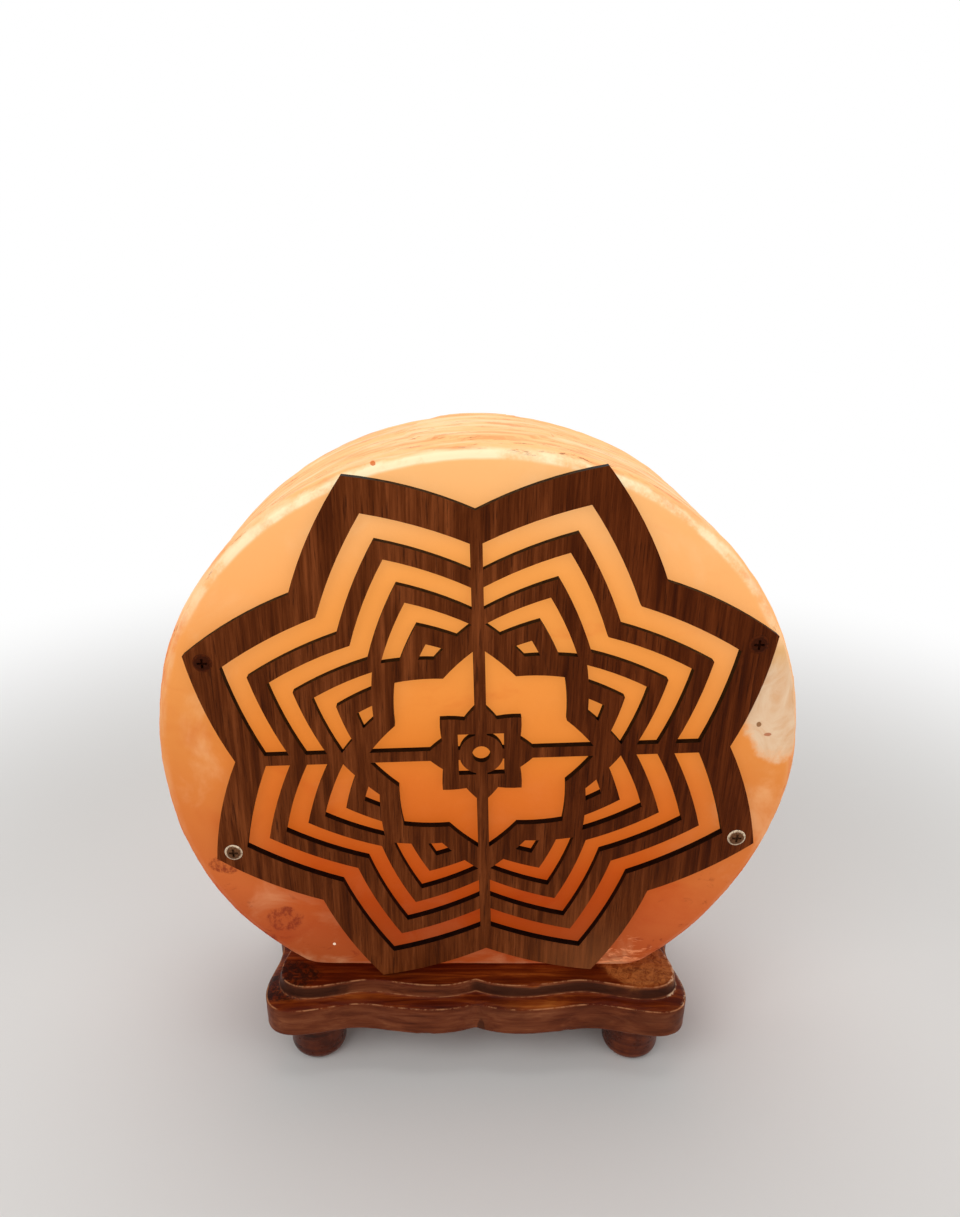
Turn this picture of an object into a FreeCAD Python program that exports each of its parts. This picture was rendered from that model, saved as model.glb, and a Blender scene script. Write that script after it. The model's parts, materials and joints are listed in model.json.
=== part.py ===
"""Salt crystal lamp: a round slab of rock salt with a fretwork star, on a footed board, lit from inside.

Millimetres. X is the viewer's right, Y goes away from the viewer, Z is up. The origin is on the
surface that the lamp stands on, below the middle of the board.
"""
import FreeCAD, Part
import math
import os
import re

import Sketcher

os.makedirs("parts", exist_ok=True)
doc = FreeCAD.newDocument("salt_lamp")

# ---------------------------------------------------------------------------------------------
# Driving dimensions, in millimetres and degrees
# ---------------------------------------------------------------------------------------------
SIZES = (
    # feet and board
    ("foot_height", 23.0),
    ("foot_radius", 11.6),
    ("foot_round", 5.3),
    ("foot_inset_side", 19.9),
    ("foot_inset_front", 19.5),
    ("board_width", 173.4),
    ("board_depth", 108.0),
    ("board_aside", 0.7),
    ("board_face", 13.0),
    ("board_slope", 1.4),
    ("board_riser", 5.6),
    ("tier_inset", 5.4),
    ("tier_side_inset", 6.6),
    ("riser_lean", 0.8),
    ("scallop_depth", 4.5),
    ("board_hole", 22.5),
    # salt slab
    ("salt_radius", 117.3),
    ("salt_depth", 76.0),
    ("salt_corner", 7.0),
    ("salt_front_round", 6.0),
    ("salt_back_round", 16.0),
    ("salt_bore", 25.0),
    ("salt_bore_depth", 96.0),
    ("salt_bore_point", 7.5),
    # star panel
    ("star_margin", 7.3),
    ("star_thick", 3.0),
    ("star_turn", 2.18),
    ("star_aside", 1.3),
    ("star_above", 7.0),
    ("star_clear", 0.65),
    # the fretwork, drawn for a star of the drawn radius and resized with it
    ("drawn_radius", 110.0),
    ("frame_rib", 13.2),
    ("outer_slot", 9.7),
    ("outer_rib", 7.1),
    ("middle_slot", 9.4),
    ("middle_rib", 7.0),
    ("inner_slot", 8.9),
    ("inner_rib", 7.6),
    ("ring_radius", 51.7),
    ("ring_rib", 10.0),
    ("heart_radius", 20.4),
    ("bar_width", 4.1),
    ("eye_radius", 3.3),
    ("eye_rib", 4.7),
    ("eye_frame", 8.3),
    # wood screws and their plugs
    ("fit_gap", 0.05),
    ("screw_shank", 1.75),
    ("screw_head", 3.4),
    ("screw_dome", 0.7),
    ("screw_cone", 2.0),
    ("head_room", 0.3),
    ("recess_length", 3.6),
    ("recess_width", 0.9),
    ("recess_depth", 1.5),
    ("grille_screw_length", 26.0),
    ("grille_screw_inset", 7.2),
    ("foot_screw_length", 31.0),
    ("foot_screw_sink", 4.0),
    ("salt_screw_length", 36.0),
    ("salt_screw_sink", 5.0),
    ("salt_screw_spread", 42.0),
    ("plug_radius", 3.0),
    ("plug_taper", 3.0),
    ("plug_spare", 0.5),
    ("plug_end", 1.5),
    # lampholder
    ("holder_radius", 13.5),
    ("holder_wall", 1.5),
    ("holder_length", 38.0),
    ("holder_below", 7.0),
    ("holder_lip", 1.5),
    ("mouth_gap", 2.3),
    ("end_cap_height", 12.0),
    ("end_cap_cone", 7.2),
    ("end_cap_nose", 7.0),
    ("end_cap_wall", 1.6),
    ("sleeve_length", 5.0),
    ("sleeve_wall", 1.4),
    ("cord_radius", 3.1),
    ("gland_wall", 1.1),
    ("gland_length", 9.0),
    ("gland_flange", 1.2),
    ("gland_ledge", 1.0),
    ("gland_taper", 0.5),
    ("carrier_thick", 8.0),
    ("shell_length", 19.0),
    ("shell_sheet", 0.4),
    ("shell_flange", 2.0),
    ("shell_plain", 2.0),
    ("terminal_width", 5.0),
    ("terminal_height", 6.0),
    ("terminal_spread", 5.6),
    ("wire_radius", 1.1),
    ("clamp_radius", 1.2),
    ("clamp_stand", 0.8),
    ("clamp_slot", 0.6),
    ("contact_width", 4.0),
    ("contact_sheet", 0.4),
    ("contact_rise", 2.2),
    ("contact_foot", 2.5),
    ("contact_ramp", 2.0),
    ("contact_pad", 3.0),
    ("contact_past", 1.6),
    # spring clip
    ("clip_sheet", 0.6),
    ("clip_width", 8.0),
    ("clip_band_height", 8.0),
    ("clip_roll", 1.2),
    ("clip_roll_gap", 0.1),
    ("clip_rise", 4.0),
    ("clip_drop", 14.0),
    ("clip_hook", 2.6),
    ("tab_length", 6.0),
    ("tab_dip", 0.6),
    ("tab_gap", 0.3),
    # bulb
    ("bulb_length", 57.0),
    ("bulb_radius", 13.0),
    ("glass_thick", 0.7),
    ("flare_height", 17.0),
    ("neck_depth", 7.0),
    ("cap_radius", 6.9),
    ("cap_length", 14.0),
    ("cap_sheet", 0.3),
    ("cap_plain", 1.2),
    ("thread_pitch", 2.822),
    ("thread_height", 0.5),
    ("thread_gap", 0.1),
    ("tip_radius", 2.4),
    ("tip_height", 1.0),
    ("insulator_rim", 0.8),
    ("insulator_height", 3.2),
    ("stem_radius", 2.0),
    ("stem_length", 17.0),
    ("stem_base", 2.0),
    ("stem_flare", 5.0),
    ("lead_radius", 0.3),
    ("lead_rise", 1.0),
    ("lead_spread", 5.0),
    ("lead_length", 12.3),
    ("filament_radius", 0.4),
    ("filament_rise", 2.2),
)
ALIASES = {alias for alias, value in SIZES}
HOLDER_TURNS = 5  # turns of thread in the holder's shell
CAP_TURNS = 4  # turns of thread on the bulb's cap

# The star's contours from the outside in: the rib or slot inside the last contour, and the
# radius of this contour's valleys as a share of its tips'.
STAR_CONTOURS = (
    (None, 0.809),
    ("frame_rib", 0.797),
    ("outer_slot", 0.783),
    ("outer_rib", 0.776),
    ("middle_slot", 0.770),
    ("middle_rib", 0.768),
    ("inner_slot", 0.776),
    ("inner_rib", 0.765),
)
STAR_TIPS = 8
RIM_BOW = 0.039  # how far an outer edge bows out, as a share of its length
SLOT_BOW = 0.030
RING_VALLEY = 0.79
HEART_VALLEY = 0.74

# A quarter of the board's outline, from the cusp in its long edge round the corner to the middle
# of its side: how far along, as a share of the half width or half depth, and how far in from the
# straight edge, in scallop depths.
FRONT_WAVE = (
    (0.000, 1.11), (0.093, 0.53), (0.221, 0.31), (0.349, 0.53), (0.465, 0.89),
    (0.558, 1.00), (0.651, 0.73), (0.744, 0.33), (0.837, 0.05), (0.907, 0.20),
)
CORNER_POINTS = ((0.962, 0.926), (0.991, 0.815))
SIDE_WAVE = ((0.667, 0.22), (0.491, 0.67), (0.370, 0.82), (0.222, 0.60), (0.0, 0.22))
CUSP_SLOPE = 0.45

# The hand-cut slab swells a little at these directions, in degrees from the viewer's right:
# centre of the swelling, its half spread, and its height in millimetres.
SALT_SWELLS = ((150.0, 22.0, 1.7), (212.0, 18.0, 1.5), (90.0, 25.0, -0.8), (-27.0, 20.0, -0.9))
SALT_POINTS = 44
CORNER_REACH = 0.42  # the handles of a corner's curve, as a share of its span

SCREW_TIPS = {"upper_right": 22.5, "lower_right": -22.5, "upper_left": 157.5, "lower_left": -157.5}
CORNERS = {"front_left": (-1, -1), "front_right": (1, -1), "back_left": (-1, 1), "back_right": (1, 1)}
SIDES = {"left": -1, "right": 1}

sheet = doc.addObject("Spreadsheet::Sheet", "sizes")
for row, (alias, value) in enumerate(SIZES, start=1):
    sheet.set("A%d" % row, alias)
    sheet.set("B%d" % row, str(value))
    sheet.setAlias("B%d" % row, alias)
doc.recompute()

sub_parts = []

# ---------------------------------------------------------------------------------------------
# Sizes and places that several pieces share, as formulas
# ---------------------------------------------------------------------------------------------
FOOT_SPREAD = "(board_width / 2 - foot_inset_side)"
FOOT_REACH = "(board_depth / 2 - foot_inset_front)"
BOARD_BOTTOM = "foot_height"
BOARD_THICK = "(board_face + board_slope + board_riser)"
BOARD_TOP = "(%s + %s)" % (BOARD_BOTTOM, BOARD_THICK)
STAR_RADIUS = "(salt_radius - star_margin)"
LOWEST_TIP = "(%s * cos((22.5 - star_turn) * 1 deg))" % STAR_RADIUS
SALT_SEAT = "(%s - star_above + star_clear)" % LOWEST_TIP
SALT_AXIS = "(%s + %s)" % (BOARD_TOP, SALT_SEAT)
STAR_CENTRE = "(%s + star_above)" % SALT_AXIS
SALT_FRONT = "(-salt_depth / 2)"
PANEL_FRONT = "(%s - star_thick)" % SALT_FRONT
FRETWORK_SCALE = "(%s / drawn_radius)" % STAR_RADIUS
SCREW_HOLE = "(screw_shank + fit_gap)"
HEAD_HOLE = "(screw_head + head_room)"
SALT_SCREW_REACH = "(salt_screw_sink + screw_dome + salt_screw_length - %s)" % BOARD_THICK
GRILLE_SCREW_REACH = "(grille_screw_length - star_thick)"
HOLDER_LOW = "(%s + holder_below)" % BOARD_BOTTOM
HOLDER_INSIDE = "(holder_radius - holder_wall)"
CARRIER_LOW = "(%s + sleeve_length)" % HOLDER_LOW
CARRIER_TOP = "(%s + carrier_thick)" % CARRIER_LOW
SHELL_BORE = "(cap_radius + thread_gap)"
GLAND_RADIUS = "(cord_radius + gland_wall)"
TIP_LOW = "(%s + contact_rise + contact_sheet + fit_gap)" % CARRIER_TOP
CAP_LOW = "(%s + tip_height + insulator_height)" % TIP_LOW
CAP_TOP = "(%s + cap_length)" % CAP_LOW
CAP_BORE = "(cap_radius - thread_height - cap_sheet)"
NECK_RADIUS = "(%s - fit_gap)" % CAP_BORE
STEM_FOOT = "(%s - glass_thick - fit_gap)" % NECK_RADIUS
STEM_LOW = "(%s - neck_depth)" % CAP_TOP
PIVOT_AXIS = "(holder_radius + clip_sheet + clip_roll_gap + clip_roll)"
PIVOT_LEVEL = "(%s + clip_rise)" % BOARD_TOP


def worth(formula):
    """The value in millimetres of a formula such as foot_height + board_face."""
    return float(sheet.evalExpression(formula))


def bound(formula):
    """The same formula for another object, where each size is named as a cell of the sheet."""
    return re.sub(
        r"[a-z][a-z_]*",
        lambda word: "sizes." + word.group() if word.group() in ALIASES else word.group(),
        formula,
    )


def bind(thing, **formulas):
    """Tie a thing's properties to formulas."""
    for name, formula in formulas.items():
        thing.setExpression(name, bound(formula))
    return thing


def place(thing, x="0", y="0", z="0"):
    """Tie a thing's position to formulas."""
    for axis, formula in (("x", x), ("y", y), ("z", z)):
        thing.setExpression("Placement.Base." + axis, bound(formula))
    return thing


def turn(thing, axis, degrees):
    """Turn a thing about an axis through its own origin."""
    thing.Placement.Rotation = FreeCAD.Rotation(FreeCAD.Vector(*axis), degrees)
    return thing


def face_back(thing):
    """Turn an upright thing so that its top points away from the viewer."""
    return turn(thing, (1, 0, 0), -90)


def sub_part(thing, label):
    """Name a finished piece."""
    thing.Label = label
    sub_parts.append(thing)
    return thing


# ---------------------------------------------------------------------------------------------
# Sketches and bodies
# ---------------------------------------------------------------------------------------------
def new_body(label):
    return doc.addObject("PartDesign::Body", label)


def new_sketch(body, name, role):
    """A sketch on one of its body's origin planes."""
    plane = next(feature for feature in body.Origin.OriginFeatures if feature.Role == role)
    sketch = body.newObject("Sketcher::SketchObject", name)
    sketch.AttachmentSupport = (plane, [""])
    sketch.MapMode = "FlatFace"
    return sketch


def pin(sketch, line, kind, formula):
    """Hold a line's first end at a distance from the sketch's axis."""
    distance = worth(formula)
    if abs(distance) < 1e-9:
        axis = -2 if kind == "DistanceX" else -1
        sketch.addConstraint(Sketcher.Constraint("PointOnObject", line, 1, axis))
        return
    number = sketch.addConstraint(Sketcher.Constraint(kind, -1, 1, line, 1, distance))
    sketch.setExpression("Constraints[%d]" % number, bound(formula))


def add_outline(sketch, corners):
    """A closed outline of straight lines through corners given as pairs of formulas."""
    points = [FreeCAD.Vector(worth(across), worth(up), 0) for across, up in corners]
    ends = points[1:] + points[:1]
    lines = [sketch.addGeometry(Part.LineSegment(a, b), False) for a, b in zip(points, ends)]
    for line, following in zip(lines, lines[1:] + lines[:1]):
        sketch.addConstraint(Sketcher.Constraint("Coincident", line, 2, following, 1))
    for line, (across, up) in zip(lines, corners):
        pin(sketch, line, "DistanceX", across)
        pin(sketch, line, "DistanceY", up)


def add_rectangle(sketch, width, height):
    """A rectangle centred on the sketch's origin."""
    half_width = worth(width) / 2
    half_height = worth(height) / 2
    corners = [(-1, -1), (1, -1), (1, 1), (-1, 1)]
    points = [FreeCAD.Vector(a * half_width, b * half_height, 0) for a, b in corners]
    for start, end in zip(points, points[1:] + points[:1]):
        sketch.addGeometry(Part.LineSegment(start, end), False)
    for line in range(4):
        sketch.addConstraint(Sketcher.Constraint("Coincident", line, 2, (line + 1) % 4, 1))
        sketch.addConstraint(Sketcher.Constraint("Vertical" if line % 2 else "Horizontal", line))
    sketch.addConstraint(Sketcher.Constraint("Symmetric", 0, 1, 1, 2, -1, 1))
    for kind, line, formula in (("DistanceX", 0, width), ("DistanceY", 1, height)):
        number = sketch.addConstraint(Sketcher.Constraint(kind, line, 1, line, 2, worth(formula)))
        sketch.setExpression("Constraints[%d]" % number, bound(formula))


def revolve(body, corners):
    """Turn a half outline of (radius, height) corners about the body's upright axis."""
    sketch = new_sketch(body, body.Name + "_half_outline", "XZ_Plane")
    add_outline(sketch, corners)
    turning = body.newObject("PartDesign::Revolution", body.Name + "_turning")
    turning.Profile = sketch
    turning.ReferenceAxis = (sketch, ["V_Axis"])
    turning.Angle = 360
    doc.recompute()


def turned(label, corners, x="0", y="0", z="0"):
    """A turned piece standing at x, y, z."""
    body = new_body(label)
    revolve(body, corners)
    place(body, x, y, z)
    return sub_part(body, label)


def round_edges(body, radius, chosen):
    """Round the body's edges that the test chooses."""
    base = body.Tip
    names = ["Edge%d" % n for n, edge in enumerate(base.Shape.Edges, start=1) if chosen(edge)]
    rounding = body.newObject("PartDesign::Fillet", body.Name + "_rounding")
    rounding.Base = (base, names)
    bind(rounding, Radius=radius)
    doc.recompute()


def is_ring(edge, radius, height):
    """Whether an edge is a level circle of this radius at this height."""
    curve = edge.Curve
    if not isinstance(curve, Part.Circle):
        return False
    return abs(curve.Radius - radius) < 1e-4 and abs(curve.Center.z - height) < 1e-4


def sink(body, sketch, depth):
    """Cut a sketch's outline upwards into the body from its foot."""
    pocket = body.newObject("PartDesign::Pocket", sketch.Name + "_pocket")
    pocket.Profile = sketch
    bind(pocket, Length=depth)
    pocket.Reversed = True
    doc.recompute()


# ---------------------------------------------------------------------------------------------
# Primitives and booleans
# ---------------------------------------------------------------------------------------------
def cylinder(name, radius, height, x="0", y="0", z="0"):
    solid = doc.addObject("Part::Cylinder", name)
    bind(solid, Radius=radius, Height=height)
    return place(solid, x, y, z)


def cone(name, low, high, height, x="0", y="0", z="0"):
    solid = doc.addObject("Part::Cone", name)
    bind(solid, Radius1=low, Radius2=high, Height=height)
    return place(solid, x, y, z)


def box(name, length, width, height, x="0", y="0", z="0"):
    solid = doc.addObject("Part::Box", name)
    bind(solid, Length=length, Width=width, Height=height)
    return place(solid, x, y, z)


def fuse(name, pieces):
    joined = doc.addObject("Part::MultiFuse", name)
    joined.Shapes = pieces
    joined.Refine = True
    return joined


def cut(name, base, tool):
    remainder = doc.addObject("Part::Cut", name)
    remainder.Base = base
    remainder.Tool = tool
    return remainder


def feature(name, shape):
    """A shape worked out from the sheet's values, kept as an object of the document."""
    thing = doc.addObject("Part::Feature", name)
    thing.Shape = shape
    return thing


def extrude(name, outline, direction, length):
    """A solid drawn out of an outline."""
    solid = doc.addObject("Part::Extrusion", name)
    solid.Base = outline
    solid.DirMode = "Custom"
    solid.Dir = FreeCAD.Vector(*direction)
    solid.Solid = True
    bind(solid, LengthFwd=length)
    return solid


def ruled_loft(name, low, high):
    """A solid with straight walls between two level outlines."""
    solid = doc.addObject("Part::Loft", name)
    solid.Sections = [low, high]
    solid.Solid = True
    solid.Ruled = True
    return solid


# ---------------------------------------------------------------------------------------------
# Feet and board
# ---------------------------------------------------------------------------------------------
def foot_place(side, end):
    """The x and y of a foot, as formulas."""
    return "board_aside + %d * %s" % (side, FOOT_SPREAD), "%d * %s" % (end, FOOT_REACH)


def make_feet():
    """Four turned feet with a counterbored hole for the screw that holds each to the board."""
    seat = "foot_screw_sink + screw_dome"
    corners = (
        (HEAD_HOLE, "0"),
        ("foot_radius", "0"),
        ("foot_radius", "foot_height"),
        (SCREW_HOLE, "foot_height"),
        (SCREW_HOLE, seat + " + screw_cone"),
        (HEAD_HOLE, seat),
    )
    for name, (side, end) in CORNERS.items():
        body = new_body(name + "_foot")
        revolve(body, corners)
        round_edges(body, "foot_round", lambda edge: is_ring(edge, worth("foot_radius"), 0))
        place(body, *foot_place(side, end))
        sub_part(body, name + "_foot")


def board_outline(name, side_inset, inset, level):
    """The scalloped outline of one tier of the board, with a cusp in the middle of each long edge."""
    half_width = worth("board_width / 2") - side_inset
    half_depth = worth("board_depth / 2") - inset
    scallop = worth("scallop_depth")
    front = [(along * half_width, half_depth - share * scallop) for along, share in FRONT_WAVE]
    corner = [(across * half_width, along * half_depth) for across, along in CORNER_POINTS]
    side = [(half_width - share * scallop, along * half_depth) for along, share in SIDE_WAVE]
    curve = Part.BSplineCurve()
    curve.interpolate(
        Points=[FreeCAD.Vector(x, y, 0) for x, y in front + corner + side],
        InitialTangent=FreeCAD.Vector(1, CUSP_SLOPE, 0),
        FinalTangent=FreeCAD.Vector(0, -1, 0),
    )
    centre = FreeCAD.Vector(0, 0, 0)
    across = FreeCAD.Vector(1, 0, 0)
    along = FreeCAD.Vector(0, 1, 0)
    back_right = curve.toShape()
    front_right = back_right.mirror(centre, along)
    front_left = front_right.mirror(centre, across)
    back_left = back_right.mirror(centre, across)
    outline = feature(name, Part.Wire([back_right, front_right, front_left, back_left]))
    return place(outline, x="board_aside", z=level)


def make_board():
    """One board with a moulded edge in two tiers, a hole for the lampholder and screw holes."""
    side_inset = worth("tier_side_inset")
    inset = worth("tier_inset")
    lean = worth("riser_lean")
    shelf_level = BOARD_BOTTOM + " + board_face"
    foot = board_outline("board_foot", 0, 0, BOARD_BOTTOM)
    shelf = board_outline("board_shelf", 0, 0, shelf_level)
    lip = board_outline("board_lip", side_inset, inset, shelf_level + " + board_slope")
    crown = board_outline("board_crown", side_inset + lean, inset + lean, BOARD_TOP)
    solid = fuse("board_solid", [
        extrude("board_lower_tier", foot, (0, 0, 1), "board_face"),
        ruled_loft("board_ledge", shelf, lip),
        ruled_loft("board_upper_tier", lip, crown),
    ])
    holes = [cylinder("board_lamp_hole", "board_hole", BOARD_THICK, z=BOARD_BOTTOM)]
    pilot_depth = "foot_screw_sink + screw_dome + foot_screw_length + plug_spare - foot_height"
    for name, (side, end) in CORNERS.items():
        x, y = foot_place(side, end)
        holes.append(cylinder(name + "_pilot", SCREW_HOLE, pilot_depth, x, y, BOARD_BOTTOM))
    for name, side in SIDES.items():
        x = "%d * salt_screw_spread" % side
        depth = "salt_screw_sink + screw_dome"
        seat = "%s + %s" % (BOARD_BOTTOM, depth)
        holes.append(cylinder(name + "_counterbore", HEAD_HOLE, depth, x, "0", BOARD_BOTTOM))
        holes.append(cone(name + "_countersink", HEAD_HOLE, SCREW_HOLE, "screw_cone", x, "0", seat))
        holes.append(cylinder(name + "_passage", SCREW_HOLE, BOARD_THICK, x, "0", BOARD_BOTTOM))
    sub_part(cut("base_board", solid, fuse("board_holes", holes)), "base_board")


# ---------------------------------------------------------------------------------------------
# Salt slab
# ---------------------------------------------------------------------------------------------
def salt_point(degrees):
    """The point of the slab's outline in one direction from its axis."""
    reach = worth("salt_radius")
    for centre, spread, height in SALT_SWELLS:
        away = (degrees - centre + 180) % 360 - 180
        reach += height * math.exp(-((away / spread) ** 2))
    radians = math.radians(degrees)
    return FreeCAD.Vector(reach * math.cos(radians), 0, reach * math.sin(radians))


def corner_curve(start, leaving, end, arriving):
    """A curve that leaves one point along one direction and arrives at another along another."""
    handle = (end - start).Length * CORNER_REACH
    curve = Part.BezierCurve()
    curve.setPoles([start, start + leaving * handle, end - arriving * handle, end])
    return curve.toShape()


def salt_outline():
    """The slab's face about its own axis: a hand-cut round with a flat seat."""
    seat = worth(SALT_SEAT)
    radius = worth("salt_radius")
    corner = worth("salt_corner")
    seat_angle = math.degrees(math.asin(seat / radius) - corner / radius)
    span = 180 + 2 * seat_angle
    steps = [span * n / (SALT_POINTS - 1) - seat_angle for n in range(SALT_POINTS)]
    points = [salt_point(degrees) for degrees in steps]
    arc = Part.BSplineCurve()
    arc.interpolate(Points=points)
    leaving = FreeCAD.Vector(arc.tangent(arc.FirstParameter)[0])
    arriving = FreeCAD.Vector(arc.tangent(arc.LastParameter)[0])
    flat = math.sqrt(radius ** 2 - seat ** 2) - corner
    left = FreeCAD.Vector(-flat, 0, -seat)
    right = FreeCAD.Vector(flat, 0, -seat)
    rightwards = FreeCAD.Vector(1, 0, 0)
    return Part.Wire([
        arc.toShape(),
        corner_curve(points[-1], arriving, left, rightwards),
        Part.makeLine(left, right),
        corner_curve(right, rightwards, points[0], leaving),
    ])


def make_salt():
    """A solid slab, rounded front and back, bored from below for the bulb."""
    outline = salt_outline()
    face = feature("salt_face", outline)
    place(face, str(-outline.BoundBox.Center.x), SALT_FRONT, SALT_AXIS)
    slab = extrude("salt_block", face, (0, 1, 0), "salt_depth")
    doc.recompute()
    front = worth(SALT_FRONT)
    roundings = {front: worth("salt_front_round"), -front: worth("salt_back_round")}
    chosen = []
    for number, edge in enumerate(slab.Shape.Edges, start=1):
        span = edge.BoundBox
        for level, radius in roundings.items():
            if abs(span.YMin - level) < 1e-3 and abs(span.YMax - level) < 1e-3:
                chosen.append((number, radius, radius))
    rounded = doc.addObject("Part::Fillet", "salt_rounded")
    rounded.Base = slab
    rounded.Edges = chosen
    bore_top = "%s + salt_bore_depth" % BOARD_TOP
    hollows = [
        cylinder("lamp_bore", "salt_bore", "salt_bore_depth", z=BOARD_TOP),
        cone("lamp_bore_end", "salt_bore", "salt_bore / 3", "salt_bore_point", z=bore_top),
    ]
    radius = "plug_radius + fit_gap"
    for name, angle in SCREW_TIPS.items():
        x, z = grille_screw_place(angle)
        depth = "%s + plug_spare + plug_end + fit_gap" % GRILLE_SCREW_REACH
        hollows.append(face_back(cylinder(name + "_plug_hole", radius, depth, x, SALT_FRONT, z)))
    for name, side in SIDES.items():
        x = "%d * salt_screw_spread" % side
        depth = "%s + plug_spare + plug_end + fit_gap" % SALT_SCREW_REACH
        hollows.append(cylinder(name + "_seat_plug_hole", radius, depth, x, "0", BOARD_TOP))
    sub_part(cut("salt_crystal", rounded, fuse("salt_hollows", hollows)), "salt_crystal")


# ---------------------------------------------------------------------------------------------
# Star panel
# ---------------------------------------------------------------------------------------------
def grille_screw_place(angle):
    """The x and z of a grille screw, as formulas: it sits inside one of the star's tips."""
    direction = "((%s + star_turn) * 1 deg)" % angle
    reach = "(%s - grille_screw_inset)" % STAR_RADIUS
    x = "star_aside + %s * cos(%s)" % (reach, direction)
    z = "%s + %s * sin(%s)" % (STAR_CENTRE, reach, direction)
    return x, z


def fretwork(drawn):
    """A size of the fretwork, resized from the star it was drawn for."""
    return "((%s) * %s)" % (drawn, FRETWORK_SCALE)


def star_plate(name, tip, valley_share, first_tip, bow):
    """An eight-pointed star plate whose edges bow outwards, in the panel's own frame."""
    corners = []
    for number in range(2 * STAR_TIPS):
        reach = tip if number % 2 == 0 else tip * valley_share
        angle = math.radians(first_tip + number * 180.0 / STAR_TIPS)
        corners.append(FreeCAD.Vector(reach * math.cos(angle), 0, reach * math.sin(angle)))
    edges = []
    for start, end in zip(corners, corners[1:] + corners[:1]):
        middle = (start + end) * 0.5
        outwards = FreeCAD.Vector(end.z - start.z, 0, start.x - end.x)
        edges.append(Part.Arc(start, middle + outwards * bow, end).toShape())
    return extrude(name, feature(name + "_outline", Part.Wire(edges)), (0, 1, 0), "star_thick")


def centred_plate(name, width, height):
    """An oblong of the panel's thickness, centred on the panel's own axis."""
    x = "-(%s) / 2" % width
    z = "-(%s) / 2" % height
    return box(name, width, "star_thick", height, x, "0", z)


def star_bands(bars):
    """What is cut out of the panel between its contours, bars and rings."""
    half_step = 180.0 / STAR_TIPS
    reach = worth(STAR_RADIUS)
    plates = []
    for number, (width, valley_share) in enumerate(STAR_CONTOURS[1:], start=1):
        reach -= worth(fretwork(width))
        plates.append(star_plate("star_%d" % number, reach, valley_share, half_step, SLOT_BOW))
    one, two, three, four, five, six, seven = plates
    ring_reach = worth(fretwork("ring_radius"))
    window_reach = worth(fretwork("ring_radius - ring_rib"))
    heart_reach = worth(fretwork("heart_radius"))
    ring = star_plate("star_ring", ring_reach, RING_VALLEY, 0, SLOT_BOW)
    window = star_plate("star_window", window_reach, RING_VALLEY, 0, SLOT_BOW)
    heart = star_plate("star_heart", heart_reach, HEART_VALLEY, 0, SLOT_BOW)
    chevrons = fuse("star_chevrons", [cut("inner_band", five, six), seven])
    eye_ring = face_back(cylinder("eye_ring", fretwork("eye_radius + eye_rib"), "star_thick"))
    eye_square = centred_plate("eye_square", fretwork("2 * eye_frame"), fretwork("2 * eye_frame"))
    openings = fuse("star_openings", [
        cut("outer_band", one, two),
        cut("middle_band", three, four),
        cut("chevron_band", chevrons, ring),
        cut("window_band", window, heart),
        cut("eye_corners", eye_square, eye_ring),
    ])
    return cut("star_bands", openings, bars)


def make_star():
    """The fretwork panel: nested stars cut through, a cross of bars and a small centre star."""
    rim = star_plate("star_rim", worth(STAR_RADIUS), STAR_CONTOURS[0][1], 180.0 / STAR_TIPS, RIM_BOW)
    bar_width = fretwork("bar_width")
    bars = fuse("star_bars", [
        centred_plate("upright_bar", bar_width, "2 * " + STAR_RADIUS),
        centred_plate("level_bar", "2 * " + STAR_RADIUS, bar_width),
    ])
    cuts = [star_bands(bars), face_back(cylinder("eye_hole", fretwork("eye_radius"), "star_thick"))]
    for name, angle in SCREW_TIPS.items():
        reach = "(%s - grille_screw_inset)" % STAR_RADIUS
        x = "%s * cos(%s * 1 deg)" % (reach, angle)
        z = "%s * sin(%s * 1 deg)" % (reach, angle)
        head = "screw_head + fit_gap"
        cuts.append(face_back(cone(name + "_sink", head, SCREW_HOLE, "screw_cone", x, "0", z)))
        cuts.append(face_back(cylinder(name + "_hole", SCREW_HOLE, "star_thick", x, "0", z)))
    panel = cut("star_grille", rim, fuse("star_cuts", cuts))
    turn(panel, (0, -1, 0), worth("star_turn"))
    place(panel, "star_aside", PANEL_FRONT, STAR_CENTRE)
    sub_part(panel, "star_grille")


# ---------------------------------------------------------------------------------------------
# Screws and plugs
# ---------------------------------------------------------------------------------------------
def wood_screw(label, length, x, y, z):
    """A raised countersunk wood screw, driven upwards; its length is taken from the head's rim."""
    tip = "screw_dome + " + length
    corners = (
        ("0", "0"),
        ("screw_head * 0.55", "screw_dome * 0.15"),
        ("screw_head", "screw_dome"),
        ("screw_shank", "screw_dome + screw_cone"),
        ("screw_shank", tip + " - 2 * screw_shank"),
        ("screw_shank * 0.2", tip),
        ("0", tip),
    )
    body = new_body(label)
    revolve(body, corners)
    arms = (("recess_length", "recess_width"), ("recess_width", "recess_length"))
    for number, (width, height) in enumerate(arms):
        recess = new_sketch(body, "%s_recess_%d" % (label, number), "XY_Plane")
        add_rectangle(recess, width, height)
        sink(body, recess, "recess_depth")
    place(body, x, y, z)
    return sub_part(body, label)


def wall_plug(label, reach, x, y, z):
    """A nylon plug: a tube round the screw's reach, closed and tapered at its far end."""
    grip = "%s + plug_spare" % reach
    length = "%s + plug_end" % grip
    corners = (
        (SCREW_HOLE, "0"),
        ("plug_radius", "0"),
        ("plug_radius", "%s - plug_taper" % length),
        ("plug_radius * 0.8", length),
        ("0", length),
        ("0", grip),
        (SCREW_HOLE, grip),
    )
    return turned(label, corners, x, y, z)


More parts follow.
